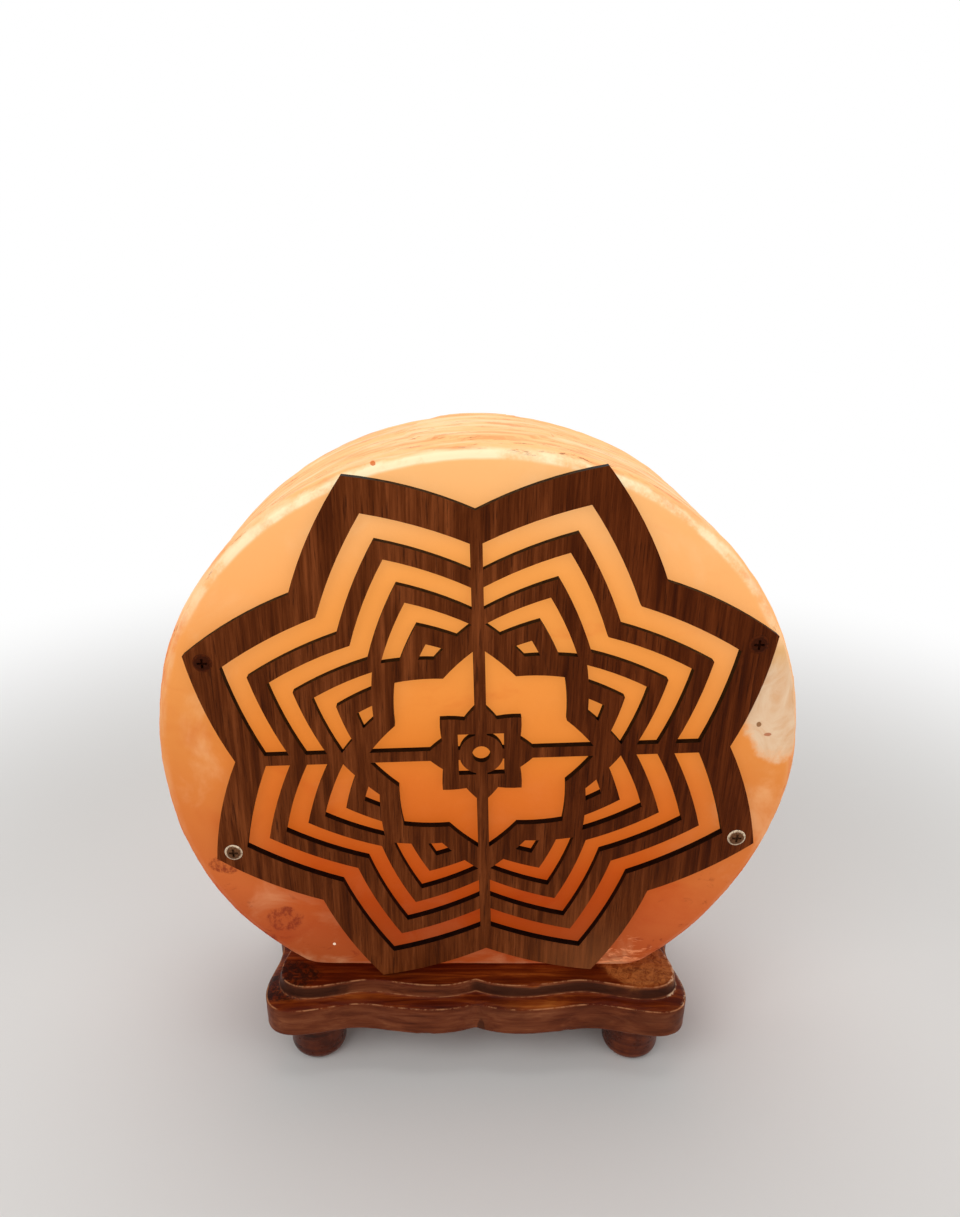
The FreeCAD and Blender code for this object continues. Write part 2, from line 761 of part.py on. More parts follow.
def make_fasteners():
    """Screws for the star, the feet and the salt, with plugs where they go into the salt."""
    for name, angle in SCREW_TIPS.items():
        x, z = grille_screw_place(angle)
        front = PANEL_FRONT + " - screw_dome"
        face_back(wood_screw(name + "_grille_screw", "grille_screw_length", x, front, z))
        face_back(wall_plug(name + "_grille_plug", GRILLE_SCREW_REACH, x, SALT_FRONT, z))
    for name, (side, end) in CORNERS.items():
        x, y = foot_place(side, end)
        wood_screw(name + "_foot_screw", "foot_screw_length", x, y, "foot_screw_sink")
    for name, side in SIDES.items():
        x = "%d * salt_screw_spread" % side
        level = BOARD_BOTTOM + " + salt_screw_sink"
        wood_screw(name + "_salt_screw", "salt_screw_length", x, "0", level)
        wall_plug(name + "_salt_plug", SALT_SCREW_REACH, x, "0", BOARD_TOP)


# ---------------------------------------------------------------------------------------------
# Lampholder
# ---------------------------------------------------------------------------------------------
def thread_corners(wall, sign, start, turns):
    """Corners of a rolled thread's ridges up a wall: each turn is drawn as one closed ring."""
    corners = []
    for number in range(turns):
        low = "%s + %d * thread_pitch" % (start, number)
        corners.append((wall, low))
        corners.append(("%s %s thread_height" % (wall, sign), low + " + 0.5 * thread_pitch"))
    corners.append((wall, "%s + %d * thread_pitch" % (start, turns)))
    return corners


def make_holder():
    """The lampholder, from its cord gland up to its mouth."""
    mouth = "(cap_radius + mouth_gap)"
    turned("holder_shell", (
        (HOLDER_INSIDE, "0"),
        ("holder_radius", "0"),
        ("holder_radius", "holder_length"),
        (mouth, "holder_length"),
        (mouth, "holder_length - holder_lip"),
        (HOLDER_INSIDE, "holder_length - holder_lip"),
    ), z=HOLDER_LOW)
    gland_hole = "%s + fit_gap" % GLAND_RADIUS
    sleeve = "(%s - fit_gap)" % HOLDER_INSIDE
    sleeve_bore = "(%s - sleeve_wall)" % sleeve
    turned("holder_end_cap", (
        (gland_hole, "0"),
        ("end_cap_nose", "0"),
        ("holder_radius", "end_cap_cone"),
        ("holder_radius", "end_cap_height"),
        (sleeve, "end_cap_height"),
        (sleeve, "end_cap_height + sleeve_length"),
        (sleeve_bore, "end_cap_height + sleeve_length"),
        (sleeve_bore, "end_cap_cone"),
        ("end_cap_nose - end_cap_wall / 2", "end_cap_wall"),
        (gland_hole, "end_cap_wall"),
    ), z=HOLDER_LOW + " - end_cap_height")
    neck_top = "gland_length - gland_flange"
    turned("cord_gland", (
        ("cord_radius", "0"),
        (GLAND_RADIUS + " - gland_taper", "0"),
        (GLAND_RADIUS, neck_top + " - end_cap_wall"),
        (GLAND_RADIUS, neck_top),
        (GLAND_RADIUS + " + gland_ledge", neck_top),
        (GLAND_RADIUS + " + gland_ledge", "gland_length"),
        ("cord_radius", "gland_length"),
    ), z="%s - end_cap_height + end_cap_wall - gland_length + gland_flange" % HOLDER_LOW)
    turned("contact_carrier", (
        ("0", "0"),
        (sleeve, "0"),
        (sleeve, "carrier_thick"),
        ("0", "carrier_thick"),
    ), z=CARRIER_LOW)
    make_screw_shell()
    make_terminals()
    make_centre_contact()


def make_screw_shell():
    """The thin threaded shell that takes the bulb's cap, with a flange riveted to the carrier."""
    wall = "(%s + thread_height)" % SHELL_BORE
    outside = "(%s + shell_sheet)" % wall
    start = "shell_sheet + shell_plain"
    inner = thread_corners(wall, "-", start, HOLDER_TURNS)
    outer = thread_corners(outside, "-", start, HOLDER_TURNS)
    corners = [(wall, "0"), (wall + " + shell_flange", "0"), (wall + " + shell_flange", "shell_sheet")]
    corners.append((outside, "shell_sheet"))
    corners += outer
    corners.append((outside, "shell_length"))
    corners.append((wall, "shell_length"))
    corners += reversed(inner)
    turned("threaded_shell", corners, z=CARRIER_TOP)


def make_terminals():
    """Two brass terminal blocks hung under the carrier, each with a clamp screw at its front."""
    half = "terminal_width / 2"
    low = "%s - terminal_height" % CARRIER_LOW
    level = "%s - terminal_height / 2" % CARRIER_LOW
    for name, side in (("live", -1), ("neutral", 1)):
        x = "%d * terminal_spread" % side
        block = box(
            name + "_block", "terminal_width", "terminal_width", "terminal_height",
            "%s - %s" % (x, half), "-" + half, low,
        )
        clamp_hole = cylinder(name + "_clamp_hole", "clamp_radius + fit_gap", half, x, "-" + half, level)
        wire_hole = cylinder(name + "_wire_hole", "wire_radius", "terminal_height / 2", x, "0", low)
        holes = fuse(name + "_holes", [face_back(clamp_hole), wire_hole])
        sub_part(cut(name + "_terminal", block, holes), name + "_terminal")
        front = "-%s - clamp_stand" % half
        screw = cylinder(name + "_clamp", "clamp_radius", half + " + clamp_stand", x, front, level)
        slot = box(
            name + "_slot", "2 * clamp_radius", "clamp_slot", "clamp_slot",
            x + " - clamp_radius", front, level + " - clamp_slot / 2",
        )
        sub_part(cut(name + "_terminal_screw", face_back(screw), slot), name + "_terminal_screw")


def make_centre_contact():
    """A bent strip of spring bronze that rises from the carrier to the bulb's tip."""
    body = new_body("centre_contact")
    sketch = new_sketch(body, "centre_contact_side", "XZ_Plane")
    ramp_end = "contact_foot + contact_ramp"
    end = "contact_foot + contact_ramp + contact_pad"
    add_outline(sketch, (
        ("0", "0"),
        ("contact_foot", "0"),
        (ramp_end, "contact_rise"),
        (end, "contact_rise"),
        (end, "contact_rise + contact_sheet"),
        (ramp_end + " - contact_sheet / 2", "contact_rise + contact_sheet"),
        ("contact_foot - contact_sheet / 2", "contact_sheet"),
        ("0", "contact_sheet"),
    ))
    pad = body.newObject("PartDesign::Pad", "centre_contact_pad")
    pad.Profile = sketch
    pad.Midplane = True
    bind(pad, Length="contact_width")
    place(body, "contact_past - (%s)" % end, "0", CARRIER_TOP)
    sub_part(body, "centre_contact")


# ---------------------------------------------------------------------------------------------
# Spring clip
# ---------------------------------------------------------------------------------------------
def leaf_outline():
    """A clip leaf from its rolled edge down to its finger tab, seen from the front."""
    thick = worth("clip_sheet")
    pivot_level = worth(PIVOT_LEVEL)
    top = FreeCAD.Vector(worth("%s + clip_roll" % PIVOT_AXIS), 0, pivot_level)
    hole = worth("board_hole - fit_gap")
    grip = math.sqrt(hole ** 2 - worth("clip_width / 2") ** 2)
    contact = FreeCAD.Vector(grip, 0, pivot_level - worth("clip_drop"))
    knee_level = worth("%s - tab_gap" % BOARD_BOTTOM)
    knee = FreeCAD.Vector(grip - worth("clip_hook"), 0, knee_level)
    tab = FreeCAD.Vector(knee.x + worth("tab_length"), 0, knee_level - worth("tab_dip"))
    down = FreeCAD.Vector(0, 0, -thick)
    inwards = FreeCAD.Vector(-thick, 0, 0)
    points = [top, contact, knee, tab, tab + down, knee + down + inwards, contact + inwards, top + inwards]
    return Part.makePolygon(points + points[:1])


def make_clip():
    """A steel band round the lampholder with a leaf each side that grips the board's hole."""
    turned("clip_band", (
        ("holder_radius", "0"),
        ("holder_radius + clip_sheet", "0"),
        ("holder_radius + clip_sheet", "clip_band_height"),
        ("holder_radius", "clip_band_height"),
    ), z="%s + clip_roll - clip_band_height" % PIVOT_LEVEL)
    edge = "-clip_width / 2"
    for name, side in SIDES.items():
        outline = place(feature(name + "_leaf_side", leaf_outline()), y=edge)
        leaf = extrude(name + "_leaf", outline, (0, 1, 0), "clip_width")
        roll = cylinder(name + "_roll", "clip_roll", "clip_width", PIVOT_AXIS, edge, PIVOT_LEVEL)
        clip = fuse(name + "_spring_clip", [leaf, face_back(roll)])
        if side < 0:
            turn(clip, (0, 0, 1), 180)
        sub_part(clip, name + "_spring_clip")


# ---------------------------------------------------------------------------------------------
# Bulb
# ---------------------------------------------------------------------------------------------
def make_bulb():
    """A small tubular bulb with its screw cap."""
    turned("bulb_tip_contact", (
        ("0", "0"),
        ("tip_radius * 0.6", "0"),
        ("tip_radius", "tip_height * 0.6"),
        ("tip_radius", "tip_height"),
        ("0", "tip_height"),
    ), z=TIP_LOW)
    turned("bulb_cap_insulator", (
        ("0", "0"),
        ("tip_radius + insulator_rim", "0"),
        (CAP_BORE, "insulator_height"),
        ("0", "insulator_height"),
    ), z=TIP_LOW + " + tip_height")
    wall = "(cap_radius - thread_height)"
    corners = [(CAP_BORE, "0"), (wall, "0")]
    corners += thread_corners(wall, "+", "cap_plain", CAP_TURNS)
    corners += [(wall, "cap_length"), (CAP_BORE, "cap_length")]
    turned("bulb_cap", corners, z=CAP_LOW)
    make_glass()
    make_filament()


def glass_skin(neck_radius, body_radius):
    """Edges of one face of the glass, from the neck's foot to the crown."""
    shoulder = worth("%s + fit_gap" % CAP_TOP)
    flare_top = shoulder + worth("flare_height")
    dome_start = worth("%s + bulb_length - bulb_radius" % TIP_LOW)
    foot = FreeCAD.Vector(neck_radius, 0, worth(STEM_LOW))
    flare_start = FreeCAD.Vector(neck_radius, 0, shoulder)
    flare_end = FreeCAD.Vector(body_radius, 0, flare_top)
    handle = FreeCAD.Vector(0, 0, (flare_top - shoulder) / 2)
    flare = Part.BezierCurve()
    flare.setPoles([flare_start, flare_start + handle, flare_end - handle, flare_end])
    side = FreeCAD.Vector(body_radius, 0, dome_start)
    lean = body_radius * math.sqrt(0.5)
    middle = FreeCAD.Vector(lean, 0, dome_start + lean)
    crown = FreeCAD.Vector(0, 0, dome_start + body_radius)
    return [
        Part.makeLine(foot, flare_start),
        flare.toShape(),
        Part.makeLine(flare_end, side),
        Part.Arc(side, middle, crown).toShape(),
    ]


def make_glass():
    """The glass: a neck inside the cap, a flare, a straight tube and a round end."""
    neck = worth(NECK_RADIUS)
    radius = worth("bulb_radius")
    thick = worth("glass_thick")
    outside = glass_skin(neck, radius)
    inside = glass_skin(neck - thick, radius - thick)
    foot = Part.makeLine(inside[0].Vertexes[0].Point, outside[0].Vertexes[0].Point)
    crown = Part.makeLine(inside[-1].Vertexes[-1].Point, outside[-1].Vertexes[-1].Point)
    edges = Part.sortEdges([foot, crown] + outside + inside)[0]
    section = Part.Face(Part.Wire(edges))
    axis = FreeCAD.Vector(0, 0, 1)
    sub_part(feature("bulb_glass", section.revolve(FreeCAD.Vector(0, 0, 0), axis, 360)), "bulb_glass")


def lead_wire(side, level):
    """A wire up from the stem's top, then outwards, then up to the filament's end."""
    radius = worth("lead_radius")
    near = side * worth("stem_radius / 2")
    far = side * worth("lead_spread")
    points = [
        FreeCAD.Vector(near, 0, level),
        FreeCAD.Vector(near, 0, level + worth("lead_rise")),
        FreeCAD.Vector(far, 0, level + worth("lead_rise + lead_spread")),
        FreeCAD.Vector(far, 0, level + worth("lead_length")),
    ]
    runs = [Part.makeCylinder(radius, (b - a).Length, a, b - a) for a, b in zip(points, points[1:])]
    bends = [Part.makeSphere(radius, point) for point in points[1:-1]]
    return runs[0].fuse(runs[1:] + bends).removeSplitter()


def make_filament():
    """The glass stem, two lead wires and the filament between their ends."""
    turned("bulb_stem", (
        ("0", "0"),
        (STEM_FOOT, "0"),
        (STEM_FOOT, "stem_base"),
        ("stem_radius", "stem_base + stem_flare"),
        ("stem_radius", "stem_length"),
        ("0", "stem_length"),
    ), z=STEM_LOW)
    stem_top = worth(STEM_LOW + " + stem_length")
    for name, side in SIDES.items():
        sub_part(feature(name + "_lead_wire", lead_wire(side, stem_top)), name + "_lead_wire")
    radius = worth("filament_radius")
    spread = worth("lead_spread")
    level = stem_top + worth("lead_length") + radius
    start = FreeCAD.Vector(-spread, 0, level)
    crest = FreeCAD.Vector(0, 0, level + worth("filament_rise"))
    path = Part.Wire([Part.Arc(start, crest, FreeCAD.Vector(spread, 0, level)).toShape()])
    direction = path.Edges[0].tangentAt(path.Edges[0].FirstParameter)
    section = Part.Wire([Part.makeCircle(radius, start, direction)])
    sub_part(feature("bulb_filament", path.makePipeShell([section], True, True)), "bulb_filament")


def check_and_export():
    """Stop on any failed object, then write each sub-part's solid."""
    doc.recompute()
    for thing in doc.Objects:
        if "Invalid" in thing.State or "Error" in thing.State:
            raise RuntimeError("%s failed: %s" % (thing.Label, thing.State))
    for thing in sub_parts:
        shape = thing.Shape
        if shape.isNull() or not shape.isValid() or len(shape.Solids) != 1:
            raise RuntimeError(thing.Label + " is not one valid solid")
    for thing in sub_parts:
        thing.Shape.exportStep("parts/%s.step" % thing.Label)
        print("%-26s %12.1f mm3" % (thing.Label, thing.Shape.Volume))


make_feet()
make_board()
make_salt()
make_star()
make_fasteners()
make_holder()
make_clip()
make_bulb()
check_and_export()
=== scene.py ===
import json
import math

import bmesh
import bpy
import numpy as np
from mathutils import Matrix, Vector, noise


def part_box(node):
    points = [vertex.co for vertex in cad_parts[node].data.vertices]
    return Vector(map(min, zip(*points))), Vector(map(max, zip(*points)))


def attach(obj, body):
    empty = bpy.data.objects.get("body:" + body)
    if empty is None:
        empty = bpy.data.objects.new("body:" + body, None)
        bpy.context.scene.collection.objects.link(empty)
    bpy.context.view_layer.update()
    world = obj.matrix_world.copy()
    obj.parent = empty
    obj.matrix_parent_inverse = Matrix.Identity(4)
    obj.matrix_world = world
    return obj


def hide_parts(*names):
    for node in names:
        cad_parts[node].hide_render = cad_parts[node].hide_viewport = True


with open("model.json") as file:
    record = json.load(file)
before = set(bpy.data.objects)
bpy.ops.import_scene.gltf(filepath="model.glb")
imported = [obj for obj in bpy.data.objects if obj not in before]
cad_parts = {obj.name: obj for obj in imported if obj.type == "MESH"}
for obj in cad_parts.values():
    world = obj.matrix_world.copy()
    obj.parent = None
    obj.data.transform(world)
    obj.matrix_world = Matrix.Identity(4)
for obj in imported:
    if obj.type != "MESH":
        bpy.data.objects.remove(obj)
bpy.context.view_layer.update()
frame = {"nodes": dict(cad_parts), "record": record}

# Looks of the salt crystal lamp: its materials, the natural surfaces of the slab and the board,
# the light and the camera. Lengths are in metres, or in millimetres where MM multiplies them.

MM = 0.001
nodes = frame["nodes"]


def corners(name):
    """A node's lowest and highest corners."""
    low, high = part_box(name)
    return Vector(low), Vector(high)


SLAB_LOW, SLAB_HIGH = corners("salt_crystal")
STAR_LOW, STAR_HIGH = corners("star_grille")
BOARD_LOW, BOARD_HIGH = corners("base_board")
GLOW_DROP = 7 * MM  # the glow's middle lies this far below the star's
SLAB_AXIS = (STAR_LOW.z + STAR_HIGH.z) / 2 - GLOW_DROP
SLAB_RADIUS = SLAB_HIGH.x
SHELF_LEVEL = BOARD_LOW.z + 13.0 * MM  # the top of the board's lower tier
LIP_LEVEL = SHELF_LEVEL + 1.4 * MM  # the foot of the riser between the tiers


# ---------------------------------------------------------------------------------------------
# Node helpers
# ---------------------------------------------------------------------------------------------
def colour(red, green, blue):
    """A colour written in the 0 to 255 values that a picture shows."""
    def linear(value):
        share = value / 255
        return share / 12.92 if share <= 0.04045 else ((share + 0.055) / 1.055) ** 2.4
    return (linear(red), linear(green), linear(blue), 1.0)


class Finish:
    """A material whose nodes are added by short calls that return their output sockets."""

    def __init__(self, name):
        self.material = bpy.data.materials.new(name)
        self.material.use_nodes = True
        self.tree = self.material.node_tree
        self.shader = next(node for node in self.tree.nodes if node.type == "BSDF_PRINCIPLED")
        place = self.tree.nodes.new("ShaderNodeTexCoord")
        self.position = place.outputs["Object"]
        self.normal = place.outputs["Normal"]

    def feed(self, node, socket, value):
        """Link a socket to another one, or set its own number or colour."""
        if isinstance(value, bpy.types.NodeSocket):
            self.tree.links.new(value, node.inputs[socket])
        else:
            node.inputs[socket].default_value = value

    def math(self, operation, *values):
        node = self.tree.nodes.new("ShaderNodeMath")
        node.operation = operation
        for socket, value in enumerate(values):
            self.feed(node, socket, value)
        return node.outputs[0]

    def product(self, *values):
        return self.math("MULTIPLY", *values)

    def total(self, *values):
        return self.math("ADD", *values)

    def blend(self, first, second, share):
        """The first value times its share, and the second times the rest."""
        return self.total(self.product(first, share), self.product(second, 1.0 - share))

    def length(self, across, up):
        """The length of a flat vector from its two sides."""
        squares = [self.math("POWER", self.math("ABSOLUTE", side), 2.0) for side in (across, up)]
        return self.math("POWER", self.total(*squares), 0.5)

    def part(self, vector, axis):
        """One coordinate of a vector."""
        node = self.tree.nodes.new("ShaderNodeSeparateXYZ")
        self.feed(node, 0, vector)
        return node.outputs[axis]

    def scaled(self, scale, turn=(0, 0, 0)):
        """The position, stretched by a scale along each axis after a turn."""
        node = self.tree.nodes.new("ShaderNodeMapping")
        self.feed(node, "Vector", self.position)
        node.inputs["Rotation"].default_value = [math.radians(value) for value in turn]
        node.inputs["Scale"].default_value = scale
        return node.outputs[0]

    def noise(self, vector, scale=1.0, detail=3.0, roughness=0.5, distortion=0.0):
        node = self.tree.nodes.new("ShaderNodeTexNoise")
        self.feed(node, "Vector", vector)
        node.inputs["Scale"].default_value = scale
        node.inputs["Detail"].default_value = detail
        node.inputs["Roughness"].default_value = roughness
        node.inputs["Distortion"].default_value = distortion
        return node.outputs["Fac"]

    def cells(self, scale, output):
        """Scattered cells: the distance to the nearest one's middle, or that cell's own colour."""
        node = self.tree.nodes.new("ShaderNodeTexVoronoi")
        self.feed(node, "Vector", self.position)
        node.inputs["Scale"].default_value = scale
        return node.outputs[output]

    def span(self, value, low, high, start=0.0, end=1.0):
        """A smooth step from start to end as the value goes from low to high."""
        node = self.tree.nodes.new("ShaderNodeMapRange")
        node.interpolation_type = "SMOOTHSTEP"
        self.feed(node, "Value", value)
        node.inputs["From Min"].default_value = low
        node.inputs["From Max"].default_value = high
        node.inputs["To Min"].default_value = start
        node.inputs["To Max"].default_value = end
        return node.outputs["Result"]

    def ramp(self, value, stops):
        """Colours along a value, as pairs of place and colour."""
        node = self.tree.nodes.new("ShaderNodeValToRGB")
        self.feed(node, "Fac", value)
        elements = node.color_ramp.elements
        while len(elements) < len(stops):
            elements.new(0.5)
        for element, (place, shade) in zip(elements, stops):
            element.position = place
            element.color = shade
        return node.outputs["Color"]

    def mix(self, share, under, over, blend="MIX"):
        """Two colours, where the share is how much of the second lies over the first."""
        node = self.tree.nodes.new("ShaderNodeMix")
        node.data_type = "RGBA"
        node.blend_type = blend
        for name, value in {"Factor": share, "A": under, "B": over}.items():
            socket = next(place for place in node.inputs if place.name == name and place.enabled)
            if isinstance(value, bpy.types.NodeSocket):
                self.tree.links.new(value, socket)
            else:
                socket.default_value = value
        return next(place for place in node.outputs if place.enabled)

    def oval(self, middle, size, axes="XZ", ragged=0.0, scale=70.0):
        """One inside an oval given in millimetres and nothing outside it, with a ragged edge."""
        sides = []
        for axis, centre, reach in zip(axes, middle, size):
            offset = self.math("SUBTRACT", self.part(self.position, axis), centre * MM)
            sides.append(self.math("DIVIDE", offset, reach * MM))
        away = self.length(*sides)
        if ragged:
            warp = self.math("SUBTRACT", self.noise(self.position, scale, 5.0, 0.62), 0.5)
            away = self.math("MULTIPLY_ADD", warp, ragged, away)
        return self.span(away, 1.0, 0.78)

    def bump(self, height, distance, strength):
        node = self.tree.nodes.new("ShaderNodeBump")
        self.feed(node, "Height", height)
        node.inputs["Distance"].default_value = distance
        node.inputs["Strength"].default_value = strength
        return node.outputs[0]

    def finish(self, **inputs):
        """Feed the shader, where a word such as base_color names the socket Base Color."""
        names = {socket.name.lower().replace(" ", "_"): socket for socket in self.shader.inputs}
        for name, value in inputs.items():
            self.feed(self.shader, names[name].name, value)
        return self.material


# ---------------------------------------------------------------------------------------------
# Salt
# ---------------------------------------------------------------------------------------------
RIM_GLOW = (
    (0.00, colour(136, 62, 28)), (0.09, colour(156, 70, 31)), (0.16, colour(173, 79, 38)),
    (0.24, colour(194, 96, 46)), (0.39, colour(212, 118, 54)), (0.54, colour(226, 140, 68)),
    (0.66, colour(242, 157, 82)), (0.77, colour(254, 176, 104)), (1.00, colour(254, 190, 122)),
)
HEART_GLOW = (
    (0.00, colour(140, 50, 9)), (0.16, colour(158, 58, 12)), (0.24, colour(176, 67, 15)),
    (0.31, colour(194, 80, 20)), (0.39, colour(210, 101, 31)), (0.46, colour(222, 114, 40)),
    (0.54, colour(232, 131, 49)), (0.69, colour(246, 154, 70)), (0.84, colour(253, 165, 80)),
)
SALT_OWN_LIGHT = 0.68  # the share of the slab's brightness that is its own glow
SALT_BODY = (0.46, 0.46, 0.46, 1.0)  # the share that it takes from the room
PATCH_PLACE = (108, 168)  # places and sizes on the slab's front face, in millimetres
PATCH_SIZE = (17.0, 26.0)
PATCH_CORE = (16.2, 25.0)
VEIN_BLOTCHES = ((-76, 69), (9, 6.5)), ((-97, 96), (6, 4.5)), ((-84, 60), (5, 3))
SCRATCHES = ((66, 50), (17, 12))
SPECKS = (
    ((100.3, 157.6), (1.0, 1.1), colour(132, 84, 44)),
    ((104.1, 153.5), (1.5, 0.8), colour(178, 104, 70)),
    ((-56.6, 57), (0.7, 0.7), colour(250, 226, 198)),
    ((-34.7, 249.5), (1.0, 0.7), colour(214, 104, 40)),
)
GRAINS = (95.0, 0.90, colour(120, 58, 24)), (60.0, 0.955, colour(255, 232, 196))  # scale, rarity, colour


def salt_glow(make):
    """The slab's colour, bright at the top and deep at the foot, and how near the rim a point is."""
    x = make.math("DIVIDE", make.part(make.position, "X"), SLAB_RADIUS)
    height = make.math("SUBTRACT", make.part(make.position, "Z"), SLAB_AXIS)
    z = make.math("DIVIDE", height, SLAB_RADIUS)
    cloud = make.noise(make.position, 22.0, 3.0, 0.5)
    level = make.math("MULTIPLY_ADD", z, 0.5, 0.5)
    level = make.math("MULTIPLY_ADD", make.math("SUBTRACT", cloud, 0.5), 0.09, level)
    level = make.math("MULTIPLY_ADD", x, 0.03, level)
    rim = make.span(make.length(x, z), 0.62, 0.92)
    return make.mix(rim, make.ramp(level, HEART_GLOW), make.ramp(level, RIM_GLOW)), rim


def salt_clouds(make, glow, rim):
    """Soft clouds of paler and deeper salt, stronger towards the rim."""
    cloud = make.noise(make.scaled((30, 30, 30)), 1.0, 5.0, 0.6, 0.6)
    cloud = make.product(make.span(cloud, 0.50, 0.76, 0.0, 0.30), make.span(rim, 0.0, 1.0, 0.12, 1.0))
    glow = make.mix(cloud, glow, colour(255, 208, 156))
    blush = make.noise(make.scaled((16, 40, 22)), 1.0, 4.0, 0.6, 1.2)
    return make.mix(make.span(blush, 0.55, 0.80, 0.0, 0.34), glow, colour(222, 112, 62), "MULTIPLY")


def salt_rim(make, glow, facing, side):
    """Strata, pinkish blotches and dark threads round the rim, and a pale, broken painted highlight at the
    front edge.
    """
    z = make.part(make.position, "Z")
    strata = make.noise(make.scaled((34, 200, 34)), 1.0, 6.0, 0.66, 0.6)
    pink = make.product(make.span(strata, 0.46, 0.64, 0.0, 0.85), side)
    glow = make.mix(pink, glow, colour(246, 206, 186), "MULTIPLY")
    pale = make.noise(make.scaled((22, 110, 22)), 1.0, 5.0, 0.6, 0.5)
    haze = make.product(make.span(pale, 0.46, 0.66, 0.10, 0.62), side)
    glow = make.mix(make.product(haze, make.span(z, 100 * MM, 220 * MM)), glow, colour(255, 222, 176))
    thread = make.noise(make.scaled((110, 620, 110)), 1.0, 6.0, 0.74, 0.3)
    thread = make.product(make.span(thread, 0.55, 0.64, 0.0, 0.85), side)
    band = make.span(make.noise(make.scaled((14, 150, 14)), 1.0, 3.0, 0.5, 0.3), 0.48, 0.58)
    glow = make.mix(make.product(thread, band), glow, colour(168, 78, 38))

    # painted highlight: a pale, broken line on the rounded front edge, stronger on the upper part
    edge = make.product(make.span(facing, 0.42, 0.66), make.span(facing, 0.985, 0.93))
    upper = make.span(z, SLAB_AXIS + 25 * MM, SLAB_AXIS + 102 * MM, 0.05, 1.0)
    broken = make.span(make.noise(make.position, 62.0, 5.0, 0.66), 0.36, 0.60)
    front_edge_highlight = make.product(make.product(edge, upper), broken)
    return make.mix(make.product(front_edge_highlight, 0.9), glow, colour(255, 240, 196))


def salt_patch(make, glow, facing):
    """The greyish, cloudy patch at the right of the face, with a paler lip round it."""
    on_front = make.span(facing, 0.35, 0.75)
    lip, core = (
        make.product(make.oval(PATCH_PLACE, size, ragged=0.6, scale=110.0), on_front)
        for size in (PATCH_SIZE, PATCH_CORE))
    mottle = make.noise(make.scaled((90, 90, 60)), 1.0, 5.0, 0.6, 1.5)
    milk = make.ramp(mottle, ((0.34, colour(214, 158, 108)), (0.48, colour(219, 177, 138)),
                              (0.62, colour(226, 194, 160))))
    upper = make.span(make.part(make.position, "Z"), 176 * MM, 194 * MM)
    milk = make.mix(upper, milk, colour(232, 178, 106))
    glow = make.mix(make.product(lip, 0.7), glow, colour(242, 204, 164))
    return make.mix(make.product(core, 0.92), glow, milk)


def salt_flaws(make, glow, rim):
    """Red veins low in the slab, scratches above the board, and dark and pale specks and grains."""
    low = make.span(make.part(make.position, "Z"), SLAB_AXIS - 20 * MM, SLAB_AXIS - 70 * MM)
    vein = make.noise(make.scaled((70, 70, 110)), 1.0, 6.0, 0.68, 1.8)
    vein = make.product(make.span(vein, 0.58, 0.70, 0.0, 0.5), make.product(low, rim))
    glow = make.mix(vein, glow, colour(120, 36, 18))
    smudge = make.noise(make.scaled((300, 90, 210)), 1.0, 6.0, 0.8, 0.3)
    smudge = make.span(smudge, 0.40, 0.60, 0.1, 1.0)
    for middle, size in VEIN_BLOTCHES:
        blotch = make.product(make.oval(middle, size, ragged=1.2, scale=110.0), smudge)
        glow = make.mix(make.product(blotch, 0.8), glow, colour(118, 38, 22))
    scratch = make.noise(make.scaled((120, 60, 420), (0, 28, 0)), 1.0, 5.0, 0.7, 0.8)
    scratch = make.product(make.oval(*SCRATCHES, ragged=0.8), make.span(scratch, 0.54, 0.62))
    glow = make.mix(make.product(scratch, 0.7), glow, colour(226, 138, 92))
    for middle, size, shade in SPECKS:
        speck = make.oval(middle, size, ragged=0.5, scale=900.0)
        glow = make.mix(make.product(speck, 0.85), glow, shade)
    for scale, rare, shade in GRAINS:
        some = make.span(make.cells(scale, "Color"), rare, rare + 0.03)
        grain = make.product(make.span(make.cells(scale, "Distance"), 0.085, 0.035), some)
        glow = make.mix(make.product(grain, 0.75), glow, shade)
    return glow


def salt_finish():
    """Rock salt lit from inside: what it gives off and what it takes from the room share one colour."""
    make = Finish("rock_salt_lit")
    facing = make.product(make.part(make.normal, "Y"), -1.0)
    side = make.math("SUBTRACT", 1.0, make.span(facing, 0.80, 0.99))
    glow, rim = salt_glow(make)
    glow = salt_clouds(make, glow, rim)
    glow = salt_rim(make, glow, facing, side)
    glow = salt_patch(make, glow, facing)
    glow = salt_flaws(make, glow, rim)
    fine = make.noise(make.position, 900.0, 4.0, 0.6)
    ripple = make.noise(make.scaled((60, 160, 60)), 1.0, 5.0, 0.6, 0.4)
    relief = make.total(make.product(fine, 0.25), make.product(ripple, side))
    return make.finish(
        base_color=make.mix(1.0, glow, SALT_BODY, "MULTIPLY"),
        emission_color=glow,
        emission_strength=SALT_OWN_LIGHT,
        roughness=make.total(make.product(fine, 0.20), make.span(side, 0.0, 1.0, 0.36, 0.46)),
        specular_ior_level=0.06,
        normal=make.bump(relief, 0.5 * MM, 0.5),
    )


SLAB_CELL = 1.6 * MM  # the size of the slab's faces
WELD_REACH = 0.01 * MM
SLAB_CORE = 26 * MM  # nothing is carved nearer the upright axis than this, where the bulb's bore is


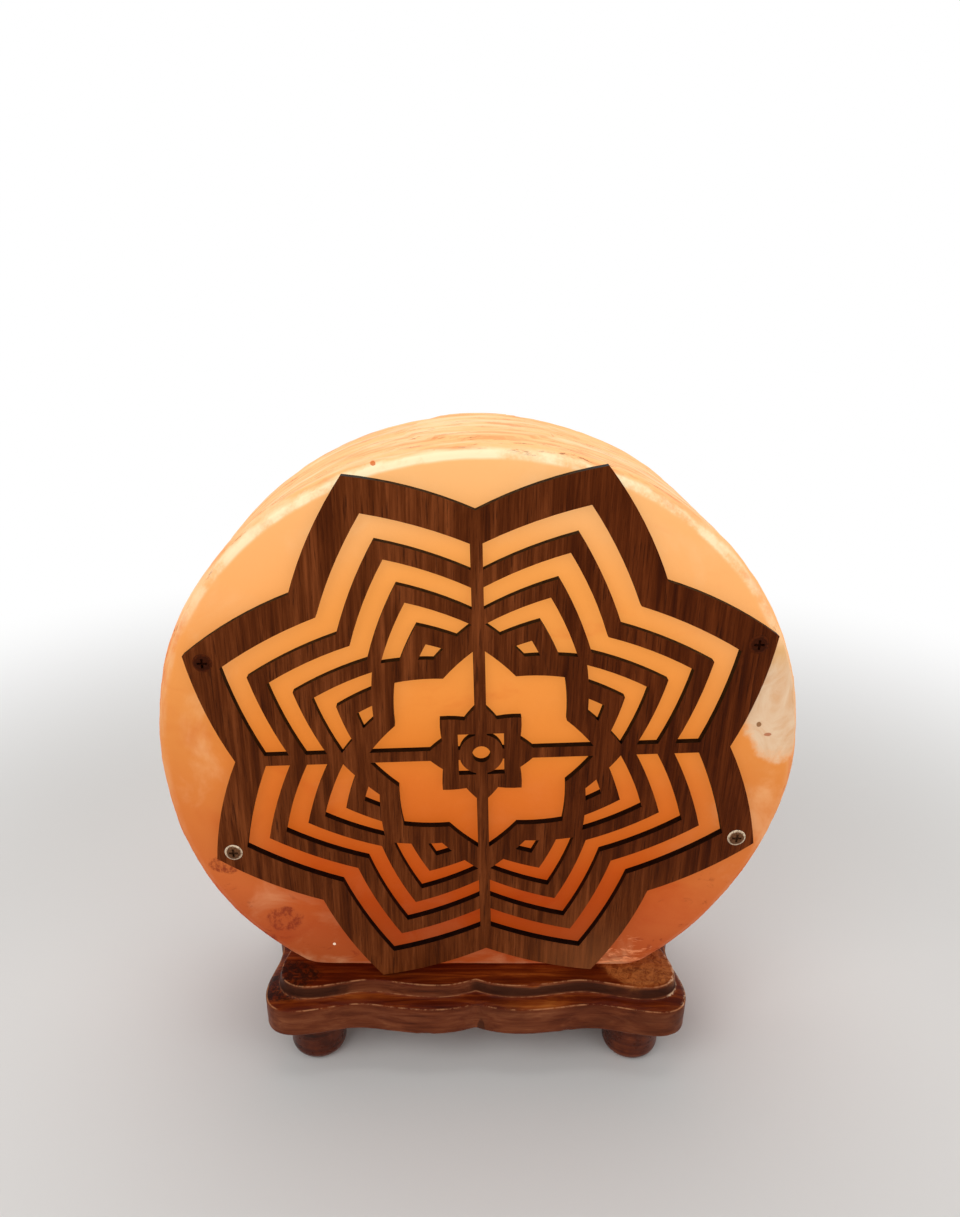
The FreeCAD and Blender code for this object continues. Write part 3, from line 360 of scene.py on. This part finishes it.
def remeshed(name, source, cell):
    """A copy of a node's shape with small, even faces."""
    piece = bpy.data.objects.new(name, nodes[source].data.copy())
    bpy.context.scene.collection.objects.link(piece)
    weld = piece.modifiers.new("weld", "WELD")
    weld.merge_threshold = WELD_REACH
    remesh = piece.modifiers.new("remesh", "REMESH")
    remesh.mode = "VOXEL"
    remesh.voxel_size = cell
    evaluated = piece.evaluated_get(bpy.context.evaluated_depsgraph_get())
    mesh = bpy.data.meshes.new_from_object(evaluated)
    piece.modifiers.clear()
    piece.data = mesh
    mesh.shade_smooth()
    return piece


def push_in(piece, depth_at):
    """Move each point inwards along its normal by the depth that the function gives, never outwards."""
    for vertex, normal in zip(piece.data.vertices, [v.normal.copy() for v in piece.data.vertices]):
        depth = max(depth_at(vertex.co, normal), 0.0)
        vertex.co = vertex.co - normal * depth


def slab_depth(point, normal):
    """Hand-cut facets and small pits round the slab, and an almost flat front face."""
    if point.z < SLAB_LOW.z + 0.5 * MM or math.hypot(point.x, point.y) < SLAB_CORE:
        return 0.0
    facets = noise.cell(point * 28.0) * 0.1
    swell = 0.5 + 0.5 * noise.noise(point * 34.0)
    small = 0.5 + 0.5 * noise.noise(point * 160.0)
    shelter = min(1.0, max(0.0, 1.0 + normal.y) * 2.5)
    return (shelter * (0.9 * swell + 0.35 * small + facets) + 0.06 * small) * MM


def make_slab():
    slab = remeshed("salt_slab", "salt_crystal", SLAB_CELL)
    push_in(slab, slab_depth)
    slab.data.materials.clear()
    slab.data.materials.append(salt_finish())
    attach(slab, "lamp")
    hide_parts("salt_crystal")


# ---------------------------------------------------------------------------------------------
# Wood
# ---------------------------------------------------------------------------------------------
WOOD_TONES = (0.34, 0.44, 0.50, 0.57, 0.68)  # the places of a wood's five colours, from dark to pale
CUSP_MARK = ((3, 21.5), (1.8, 8.5))  # places and sizes on the board, in millimetres
RUBBED_CORNER = ((72, -34), (23, 13))
STAINED_CORNER = ((-76, -40), (14, 9))
CHIPPED_CORNER = ((84, -38), (10, 12))


def star_finish():
    """Dark upright-grained wood, with walls charred by the laser that cut them."""
    make = Finish("fretwork_wood")
    streak = make.noise(make.scaled((480, 60, 20)), 1.0, 6.0, 0.70, 0.3)
    fibre = make.noise(make.scaled((1700, 200, 70)), 1.0, 4.0, 0.6, 0.1)
    broad = make.noise(make.scaled((80, 20, 11)), 1.0, 4.0, 0.6, 0.8)
    tone = make.blend(streak, broad, 0.62)
    wood = make.ramp(tone, ((0.34, colour(62, 22, 3)), (0.43, colour(84, 35, 7)), (0.50, colour(101, 46, 14)),
                            (0.57, colour(122, 60, 25)), (0.68, colour(150, 78, 36))))
    pores = make.span(fibre, 0.57, 0.66, 0.0, 0.62)
    wood = make.mix(pores, wood, colour(44, 16, 4))
    x = make.part(make.position, "X")
    z = make.part(make.position, "Z")
    shade = make.product(make.span(x, -10 * MM, 60 * MM), make.span(z, 80 * MM, 110 * MM))
    wood = make.mix(make.product(shade, 0.9), wood, colour(222, 204, 176), "MULTIPLY")
    low = make.span(z, 80 * MM, 45 * MM, 0.0, 0.42)
    wood = make.mix(make.product(low, make.span(x, 10 * MM, 50 * MM)), wood, colour(158, 94, 54))
    facing = make.product(make.part(make.normal, "Y"), -1.0)
    wall = make.span(facing, 0.75, 0.45)
    soot = make.ramp(make.noise(make.position, 400.0, 4.0, 0.6),
                     ((0.35, colour(8, 4, 3)), (0.65, colour(26, 13, 8))))
    wood = make.mix(wall, wood, soot)
    height = make.blend(streak, fibre, 0.6)
    return make.finish(
        base_color=wood,
        roughness=make.span(streak, 0.3, 0.7, 0.42, 0.60),
        specular_ior_level=0.05,
        normal=make.bump(height, 0.15 * MM, 0.7),
    )


def wood_tones(*shades):
    """A wood's colours, from dark to pale, as the stops of a ramp."""
    return [(place, colour(*shade)) for place, shade in zip(WOOD_TONES, shades)]


def board_finish():
    """Reddish lacquered wood: clear, deep colour on top, dull sides, and pale edges partly worn, partly
    painted highlight.
    """
    make = Finish("lacquered_board")
    streak = make.noise(make.scaled((24, 380, 380)), 1.0, 6.0, 0.70, 0.6)
    broad = make.noise(make.scaled((14, 60, 60)), 1.0, 4.0, 0.6, 1.2)
    tone = make.blend(streak, broad, 0.6)
    top = make.ramp(tone, wood_tones((62, 14, 2), (88, 26, 4), (108, 40, 8), (138, 62, 18), (176, 96, 36)))
    side = make.ramp(tone, wood_tones(
        (72, 30, 14), (102, 47, 24), (116, 57, 31), (130, 70, 41), (156, 94, 58)))
    z = make.part(make.position, "Z")
    up = make.part(make.normal, "Z")
    upright = make.span(up, 0.5, 0.2)
    wood = make.mix(make.span(up, 0.35, 0.75), side, top)
    bands = make.noise(make.scaled((18, 18, 18)), 1.0, 4.0, 0.6, 0.8)
    wood = make.mix(make.span(bands, 0.54, 0.72, 0.0, 0.45), wood, colour(52, 22, 11))

    # darker stretches of the riser between the tiers, and the dark mark below the cusp
    riser = make.product(make.span(z, LIP_LEVEL, LIP_LEVEL + 0.8 * MM), upright)
    dark = make.span(make.noise(make.scaled((34, 10, 10)), 1.0, 3.0, 0.5), 0.46, 0.58, 0.1, 0.8)
    wood = make.mix(make.product(riser, dark), wood, colour(44, 20, 10))
    mark = make.product(make.oval(*CUSP_MARK, ragged=0.6, scale=300.0), upright)
    wood = make.mix(make.product(mark, 0.6), wood, colour(40, 17, 9))

    # rubbed, golden wood on the right corner and speckled dark wood on the left one
    speckle = make.noise(make.scaled((420, 420, 420)), 1.0, 6.0, 0.74, 0.8)
    rubbed = make.product(make.oval(*RUBBED_CORNER, "XY", 0.7), make.span(speckle, 0.38, 0.60, 0.25, 0.9))
    rubbed = make.product(rubbed, make.span(z, LIP_LEVEL + 2 * MM, BOARD_HIGH.z - 0.5 * MM))
    wood = make.mix(rubbed, wood, colour(186, 112, 56))
    stained = make.product(make.oval(*STAINED_CORNER, "XY", 0.8), make.span(speckle, 0.44, 0.54, 0.2, 0.9))
    wood = make.mix(make.product(stained, make.span(up, 0.0, 0.6)), wood, colour(38, 12, 5))

    # pale edges, partly wear and partly painted highlight on the rounded edges, and chips at the right corner
    attribute = make.tree.nodes.new("ShaderNodeAttribute")
    attribute.attribute_name = "edge"
    edge = attribute.outputs["Fac"]
    wear_and_highlight_share = make.noise(make.scaled((150, 150, 150)), 1.0, 6.0, 0.74)
    wear_and_highlight = make.product(make.span(edge, 0.50, 0.95), make.span(wear_and_highlight_share, 0.42, 0.60))
    wood = make.mix(make.product(wear_and_highlight, 0.8), wood, colour(196, 132, 88))
    chips = make.product(make.oval(*CHIPPED_CORNER, "XY", 0.8), make.span(edge, 0.1, 0.6))
    chips = make.product(chips, make.span(speckle, 0.48, 0.56))
    wood = make.mix(make.product(chips, 0.9), wood, colour(226, 186, 150))
    return make.finish(
        base_color=wood,
        roughness=make.span(wear_and_highlight_share, 0.3, 0.7, 0.30, 0.50),
        specular_ior_level=0.07,
        normal=make.bump(make.total(streak, make.product(speckle, rubbed)), 0.15 * MM, 0.6),
    )


BOARD_STEPS = 900  # points round the board
BOARD_ANGLES = np.linspace(-math.pi, math.pi, BOARD_STEPS, endpoint=False)
LAMP_HOLE_RADIUS = 22.5 * MM
BOARD_CORE = 24 * MM  # nothing is carved nearer the upright axis than this
SALT_SCREW_PLACE = 42 * MM  # how far to each side of the middle
SALT_SCREW_BORE = (3.7, -1.0), (3.7, 5.7), (1.8, 7.7), (1.8, 21.0)  # radius and height, in millimetres


def tier_outline(level):
    """The board's outline at a level, read from the frame, as points at even angles round its middle."""
    middle = (BOARD_LOW.x + BOARD_HIGH.x) / 2
    points = np.array([vertex.co for vertex in nodes["base_board"].data.vertices])
    points = points[np.abs(points[:, 2] - level) < 0.02 * MM]
    x = points[:, 0] - middle
    y = points[:, 1]
    reach = np.hypot(x, y)
    outside = (reach > 30 * MM) & ((np.abs(y) > 3 * MM) | (reach > 50 * MM))
    angle = np.arctan2(y, x)[outside]
    reach = reach[outside]
    order = np.argsort(angle)
    radius = np.interp(BOARD_ANGLES, angle[order], reach[order], period=2 * math.pi)
    half = 6  # the points on each side that a point is smoothed with
    window = np.exp(-(np.arange(-half, half + 1) / 2.6) ** 2)
    padded = np.concatenate([radius[-half:], radius, radius[:half]])
    radius = np.convolve(padded, window / window.sum(), "valid")
    return np.stack([middle + radius * np.cos(BOARD_ANGLES), radius * np.sin(BOARD_ANGLES)], axis=1)


def inset(outline, depth):
    """An outline moved inwards by a small depth."""
    along = np.roll(outline, -1, axis=0) - np.roll(outline, 1, axis=0)
    along /= np.linalg.norm(along, axis=1)[:, None]
    return outline + np.stack([-along[:, 1], along[:, 0]], axis=1) * depth


def drawn_out(outline):
    """The upper tier's outline with its ends as near to the lower tier's as in the photograph."""
    x = outline[:, 0]
    start = 45 * MM
    reach = 35 * MM
    right = np.clip((x - start) / reach, 0, 1) ** 2 * 3.2 * MM
    left = np.clip((-x - start) / reach, 0, 1) ** 2 * 1.6 * MM
    return np.stack([x + right - left, outline[:, 1]], axis=1)


def board_rings():
    """The board's skin as rings, each with its level and its share of edge wear and painted edge highlight,
    from its underside to its hole.
    """
    low = BOARD_LOW.z
    top = BOARD_HIGH.z
    outer = tier_outline(SHELF_LEVEL)
    lip = drawn_out(tier_outline(LIP_LEVEL))
    crown = drawn_out(tier_outline(top))
    hole = np.stack([np.cos(BOARD_ANGLES), np.sin(BOARD_ANGLES)], axis=1) * LAMP_HOLE_RADIUS
    rings = [(inset(outer, 0.7 * MM), low, 0.0), (inset(outer, 0.15 * MM), low + 0.15 * MM, 0.6)]
    rings += [(outer, low + share * 11.9 * MM + 0.6 * MM, 0.0) for share in np.linspace(0, 1, 9)]
    rings += [
        (inset(outer, 0.12 * MM), SHELF_LEVEL - 0.20 * MM, 0.7),
        (inset(outer, 0.40 * MM), SHELF_LEVEL - 0.02 * MM, 1.0),
        (inset(outer, 0.90 * MM), SHELF_LEVEL + 0.10 * MM, 0.5),
    ]
    for share in (0.3, 0.5, 0.7, 0.86):
        rings.append((outer * (1 - share) + lip * share, SHELF_LEVEL + share * 1.3 * MM, 0.0))
    rings += [
        (outer * 0.05 + lip * 0.95, LIP_LEVEL, 0.3),
        (lip * 0.99 + crown * 0.01, LIP_LEVEL + 0.35 * MM, 0.8),
    ]
    for share in (0.2, 0.4, 0.6, 0.8):
        bead = 0.25 * MM * math.sin(math.pi * share)
        ring = inset(lip * (1 - share) + crown * share, 0.25 * MM - bead)
        rings.append((ring, LIP_LEVEL + share * 4.9 * MM + 0.35 * MM, 0.0))
    rings += [
        (inset(crown, 0.20 * MM), top - 0.28 * MM, 0.7),
        (inset(crown, 0.45 * MM), top - 0.05 * MM, 1.0),
        (inset(crown, 0.95 * MM), top, 0.5),
    ]
    field = inset(crown, 1.6 * MM)
    for share in np.linspace(0, 1, 14):
        rings.append((field * (1 - share) + hole * share, top, 0.0))
    for level in np.linspace(top - 0.5 * MM, low + 0.5 * MM, 6):
        rings.append((hole, level, 0.0))
    under = inset(outer, 1.2 * MM)
    for share in np.linspace(1, 0, 10):
        rings.append((under * (1 - share) + hole * share, low, 0.0))
    return rings


def ring_mesh(name, rings):
    """A closed skin through rings of points, with each ring's share of wear and painted highlight kept as the
    attribute edge.
    """
    count = len(rings[0][0])
    points = []
    wear_and_highlight = []
    for outline, level, wear_and_highlight_share in rings:
        points += [(x, y, level) for x, y in outline]
        wear_and_highlight += [wear_and_highlight_share] * count
    faces = []
    for ring in range(len(rings)):
        this = ring * count
        above = (ring + 1) % len(rings) * count
        for step in range(count):
            after = (step + 1) % count
            faces.append((this + step, this + after, above + after, above + step))
    mesh = bpy.data.meshes.new(name)
    mesh.from_pydata(points, [], faces)
    attribute = mesh.attributes.new("edge", "FLOAT", "POINT")
    attribute.data.foreach_set("value", np.array(wear_and_highlight, dtype=np.float32))
    mesh.update()
    mesh.shade_smooth()
    return mesh


def lathe(name, outline, steps=48):
    """A solid turned about the upright axis from (radius, height) points, closed at both ends."""
    shape = bmesh.new()
    rings = []
    for radius, height in outline:
        ring = []
        for step in range(steps):
            angle = 2 * math.pi * step / steps
            ring.append(shape.verts.new((radius * math.cos(angle), radius * math.sin(angle), height)))
        rings.append(ring)
    for low, high in zip(rings, rings[1:]):
        for step in range(steps):
            after = (step + 1) % steps
            shape.faces.new((low[step], low[after], high[after], high[step]))
    shape.faces.new(list(reversed(rings[0])))
    shape.faces.new(rings[-1])
    mesh = bpy.data.meshes.new(name)
    shape.to_mesh(mesh)
    shape.free()
    return bpy.data.objects.new(name, mesh)


def bore_board(board):
    """Cut the two stepped holes of the screws that hold the salt."""
    low = BOARD_LOW.z
    for side in (-1, 1):
        cutter = lathe("cutter", [(radius * MM, low + height * MM) for radius, height in SALT_SCREW_BORE])
        bpy.context.scene.collection.objects.link(cutter)
        cutter.location.x = side * SALT_SCREW_PLACE
        cut = board.modifiers.new("cut", "BOOLEAN")
        cut.operation = "DIFFERENCE"
        cut.solver = "EXACT"
        cut.object = cutter
    bpy.context.view_layer.update()
    bored = bpy.data.meshes.new_from_object(board.evaluated_get(bpy.context.evaluated_depsgraph_get()))
    for cut in list(board.modifiers):
        bpy.data.objects.remove(cut.object)
    board.modifiers.clear()
    board.data = bored


def carve(mesh):
    """Shallow tool marks and small chips in the moulding, none on the underside or the seat."""
    wear_and_highlight = mesh.attributes["edge"].data
    for vertex, normal in zip(mesh.vertices, [v.normal.copy() for v in mesh.vertices]):
        point = vertex.co
        wear_and_highlight_share = wear_and_highlight[vertex.index].value
        level = abs(normal.z) > 0.9 and wear_and_highlight_share < 0.1
        if level or math.hypot(point.x, point.y) < BOARD_CORE:
            continue
        chip = max(0.0, noise.noise(point * 130.0) - 0.25) * wear_and_highlight_share
        mark = 0.10 + 0.10 * noise.noise(Vector((point.x * 60, point.y * 60, point.z * 260)))
        vertex.co = point - normal * (mark + 1.1 * chip) * MM


def make_board():
    mesh = ring_mesh("moulded_board", board_rings())
    carve(mesh)
    board = bpy.data.objects.new("moulded_board", mesh)
    bpy.context.scene.collection.objects.link(board)
    bore_board(board)
    board.data.materials.clear()
    board.data.materials.append(board_finish())
    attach(board, "lamp")
    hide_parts("base_board")


def foot_finish():
    """Dark lacquer over turned wood."""
    make = Finish("turned_foot_lacquer")
    rings = make.noise(make.scaled((30, 30, 700)), 1.0, 4.0, 0.6)
    cloud = make.noise(make.position, 90.0, 5.0, 0.66)
    tone = make.blend(rings, cloud, 0.4)
    wood = make.ramp(tone, ((0.36, colour(52, 18, 6)), (0.50, colour(88, 35, 14)),
                            (0.64, colour(124, 58, 28))))
    return make.finish(
        base_color=wood,
        roughness=make.span(cloud, 0.3, 0.7, 0.22, 0.38),
        specular_ior_level=0.16,
        normal=make.bump(rings, 0.10 * MM, 0.4),
    )


# ---------------------------------------------------------------------------------------------
# Metal, plastic and glass
# ---------------------------------------------------------------------------------------------
GRIME = colour(58, 34, 22)


def metal(name, light, dark, rough, grime):
    """A metal with fine scratches, uneven polish and a share of grime in scattered patches."""
    make = Finish(name)
    scratch = make.noise(make.scaled((600, 72, 600)), 1.0, 4.0, 0.6)
    cloud = make.noise(make.position, 260.0, 4.0, 0.6)
    body = make.mix(cloud, light, dark)
    dirt = make.span(make.noise(make.position, 520.0, 5.0, 0.65), 0.50, 0.62, 0.0, grime)
    body = make.mix(dirt, body, GRIME)
    return make.finish(
        base_color=body,
        metallic=make.span(dirt, 0.0, 1.0, 1.0, 0.25),
        roughness=make.total(make.product(scratch, 0.25), make.span(dirt, 0, 1, rough, rough + 0.3)),
        normal=make.bump(scratch, 0.03 * MM, 0.5),
    )


def star_screw_finish(name, node, rim, heart, rough, shine):
    """A screw head with a rim of one colour round a heart of another. Shine zero is paint over the metal."""
    low, high = corners(node)
    middle = ((low.x + high.x) / 2 / MM, (low.z + high.z) / 2 / MM)
    make = Finish(name)
    scratch = make.noise(make.position, 1400.0, 5.0, 0.7)
    inner = make.oval(middle, (3.1, 3.1), ragged=0.5, scale=500.0)
    body = make.mix(inner, rim, heart)
    body = make.mix(make.span(scratch, 0.50, 0.60, 0.0, 0.6), body, colour(52, 26, 14))
    return make.finish(
        base_color=body,
        metallic=make.span(inner, 0.0, 1.0, shine, 0.35 * shine) if shine else 0.0,
        specular_ior_level=0.04,
        roughness=make.math("MULTIPLY_ADD", scratch, 0.3, rough),
        normal=make.bump(scratch, 0.05 * MM, 0.6),
    )


def moulded(name, light, dark, rough, pit=0.03):
    """A moulded or fired material with a fine, slightly uneven surface."""
    make = Finish(name)
    grain = make.noise(make.position, 1500.0, 3.0, 0.6)
    cloud = make.noise(make.position, 120.0, 3.0, 0.5)
    return make.finish(
        base_color=make.mix(cloud, light, dark),
        roughness=make.span(grain, 0.3, 0.7, rough - 0.06, rough + 0.06),
        normal=make.bump(grain, pit * MM, 0.4),
    )


def glass(name, tint, rough):
    """Clear glass with very faint waves."""
    make = Finish(name)
    wave = make.noise(make.position, 120.0, 2.0, 0.5)
    return make.finish(
        base_color=make.mix(wave, tint, colour(246, 250, 250)),
        roughness=make.span(wave, 0.3, 0.7, rough, rough + 0.04),
        transmission_weight=1.0,
        ior=1.5,
        normal=make.bump(wave, 0.02 * MM, 0.3),
    )


def filament_finish():
    """A tungsten wire, hot and brighter in places."""
    make = Finish("hot_filament")
    heat = make.noise(make.position, 900.0, 2.0)
    glow = make.ramp(heat, ((0.3, (1.0, 0.42, 0.12, 1)), (0.7, (1.0, 0.66, 0.30, 1))))
    return make.finish(
        base_color=glow,
        emission_color=glow,
        emission_strength=3.0,
        roughness=make.span(make.noise(make.position, 1200.0), 0.3, 0.7, 0.5, 0.7),
    )


def give(node, finish):
    """Put a finish in place of a node's own material."""
    for slot in nodes[node].material_slots:
        slot.material = finish


def dress_nodes():
    """Give each node that is kept the finish of its material slot, and the star's screws their own."""
    finishes = {
        "dark_wood": star_finish(),
        "foot_wood": foot_finish(),
        "screw_steel": metal("worn_screw_steel", colour(226, 214, 196), colour(150, 136, 120), 0.26, 0.9),
        "dark_steel": metal("blackened_screw_steel", colour(84, 60, 46), colour(46, 30, 22), 0.5, 0.7),
        "plated_steel": metal("zinc_plated_steel", colour(220, 218, 206), colour(188, 186, 178), 0.22, 0.1),
        "nylon": moulded("white_nylon", colour(226, 223, 212), colour(206, 202, 190), 0.5),
        "spring_steel": metal("spring_steel_sheet", colour(206, 208, 210), colour(160, 162, 166), 0.28, 0.12),
        "black_plastic": moulded("black_phenolic", colour(30, 29, 28), colour(20, 19, 19), 0.34),
        "black_rubber": moulded("black_cord_rubber", colour(26, 25, 25), colour(18, 17, 17), 0.62, 0.06),
        "steatite": moulded("fired_steatite", colour(232, 227, 212), colour(216, 208, 190), 0.55, 0.05),
        "brass": metal("pressed_brass", colour(222, 186, 108), colour(176, 136, 70), 0.26, 0.15),
        "bronze": metal("spring_bronze", colour(206, 150, 96), colour(160, 106, 64), 0.30, 0.15),
        "clear_glass": glass("bulb_clear_glass", colour(250, 252, 252), 0.0),
        "stem_glass": glass("bulb_stem_glass", colour(236, 244, 242), 0.03),
        "plated_cap": metal("nickel_plated_cap", colour(224, 222, 214), colour(186, 184, 176), 0.2, 0.1),
        "black_glass": moulded("black_cap_glass", colour(24, 20, 26), colour(14, 12, 16), 0.14),
        "solder": metal("solder_blob", colour(196, 196, 196), colour(150, 150, 152), 0.38, 0.1),
        "nickel_wire": metal("nickel_lead_wire", colour(206, 202, 192), colour(170, 166, 156), 0.3, 0.0),
        "tungsten": filament_finish(),
    }
    for subpart in frame["record"]["subparts"]:
        finish = finishes.get(subpart["material_slot"])
        if finish is not None:
            give(subpart["node"], finish)
    for level, rim, heart, rough, shine in (
            ("upper", colour(88, 36, 12), colour(62, 23, 7), 0.55, 0.0),
            ("lower", colour(226, 202, 172), colour(112, 74, 48), 0.22, 0.8)):
        for side in ("left", "right"):
            node = level + "_" + side + "_grille_screw"
            give(node, star_screw_finish(node + "_steel", node, rim, heart, rough, shine))


# ---------------------------------------------------------------------------------------------
# Floor, light and camera
# ---------------------------------------------------------------------------------------------
FLOOR_SIZE = 8.0
FLOOR_FADE = (0.25, 0.65)  # the floor turns white between these distances from the lamp
BACKGROUND_RAYS = ("Is Camera Ray", "Is Glossy Ray", "Is Transmission Ray")
AMBIENT = 0.35  # how much of the white surround lights the lamp


def sees_background(tree):
    """One for a ray that is to see the white background, whether straight, reflected or through glass."""
    rays = tree.nodes.new("ShaderNodeLightPath")
    seen = rays.outputs[BACKGROUND_RAYS[0]]
    for kind in BACKGROUND_RAYS[1:]:
        either = tree.nodes.new("ShaderNodeMath")
        either.operation = "MAXIMUM"
        tree.links.new(seen, either.inputs[0])
        tree.links.new(rays.outputs[kind], either.inputs[1])
        seen = either.outputs[0]
    return seen


def make_floor():
    """A pale floor that keeps the lamp's shadow and fades to white further off."""
    bpy.ops.mesh.primitive_plane_add(size=FLOOR_SIZE, location=(0, 0, 0))
    floor = bpy.context.object
    floor.name = "floor"
    make = Finish("pale_floor")
    cloud = make.noise(make.position, 3.0, 2.0)
    material = make.finish(
        base_color=make.mix(cloud, (0.80, 0.79, 0.77, 1), (0.82, 0.81, 0.79, 1)),
        roughness=make.span(cloud, 0.3, 0.7, 0.7, 0.8),
        specular_ior_level=0.2,
    )
    away = make.length(make.part(make.position, "X"), make.part(make.position, "Y"))
    far = make.span(away, *FLOOR_FADE)
    white = make.tree.nodes.new("ShaderNodeEmission")
    blend = make.tree.nodes.new("ShaderNodeMixShader")
    output = next(node for node in make.tree.nodes if node.type == "OUTPUT_MATERIAL")
    make.tree.links.new(make.product(far, sees_background(make.tree)), blend.inputs[0])
    make.tree.links.new(make.shader.outputs[0], blend.inputs[1])
    make.tree.links.new(white.outputs[0], blend.inputs[2])
    make.tree.links.new(blend.outputs[0], output.inputs["Surface"])
    floor.data.materials.append(material)


LAMP_TARGET = Vector((0, 0, 0.12))
SOFT_LAMPS = (  # name, place, size across in metres and power in watts
    ("key_light", (-0.55, -0.75, 0.95), 0.8, 4.5),
    ("fill_light", (0.75, -0.65, 0.60), 0.8, 2.0),
    ("top_light", (0.0, 0.25, 1.10), 0.9, 4.0),
)


def soft_lamp(name, place, size, power):
    light = bpy.data.lights.new(name, "AREA")
    light.shape = "DISK"
    light.size = size
    light.energy = power
    lamp = bpy.data.objects.new(name, light)
    bpy.context.scene.collection.objects.link(lamp)
    lamp.location = place
    lamp.rotation_euler = (LAMP_TARGET - Vector(place)).to_track_quat("-Z", "Y").to_euler()


def make_world():
    """An even white surround that the camera, reflections and glass see at full strength."""
    world = bpy.data.worlds.new("studio")
    bpy.context.scene.world = world
    world.use_nodes = True
    tree = world.node_tree
    background = tree.nodes["Background"]
    background.inputs["Color"].default_value = (1, 1, 1, 1)
    strength = tree.nodes.new("ShaderNodeMapRange")
    tree.links.new(sees_background(tree), strength.inputs["Value"])
    strength.inputs["To Min"].default_value = AMBIENT
    strength.inputs["To Max"].default_value = 1.0
    tree.links.new(strength.outputs["Result"], background.inputs["Strength"])


CAMERA_PLACE = Vector((-0.0104, -0.3242, 0.3081))
VIEW = Vector((-0.0032, 0.9066, -0.4220))
PHOTO_WIDTH, PHOTO_HEIGHT = 960, 1217
FOCUS = 903.4  # the focal length and the middle of the view, in the photograph's pixels
MIDDLE = (446.1, 680.0)
SENSOR = 36.0  # millimetres, along the photograph's taller side
NEAR_CLIP = 0.01


def make_camera():
    camera = bpy.data.objects.new("camera", bpy.data.cameras.new("camera"))
    bpy.context.scene.collection.objects.link(camera)
    bpy.context.scene.camera = camera
    camera.location = CAMERA_PLACE
    camera.rotation_euler = VIEW.to_track_quat("-Z", "Y").to_euler()
    lens = camera.data
    lens.sensor_width = SENSOR
    lens.lens = FOCUS * SENSOR / PHOTO_HEIGHT
    lens.shift_x = (PHOTO_WIDTH / 2 - MIDDLE[0]) / PHOTO_HEIGHT
    lens.shift_y = (MIDDLE[1] - PHOTO_HEIGHT / 2) / PHOTO_HEIGHT
    lens.clip_start = NEAR_CLIP


make_camera()
make_world()
make_floor()
for soft in SOFT_LAMPS:
    soft_lamp(*soft)
make_slab()
make_board()
dress_nodes()

bpy.context.scene.view_settings.view_transform = "Standard"
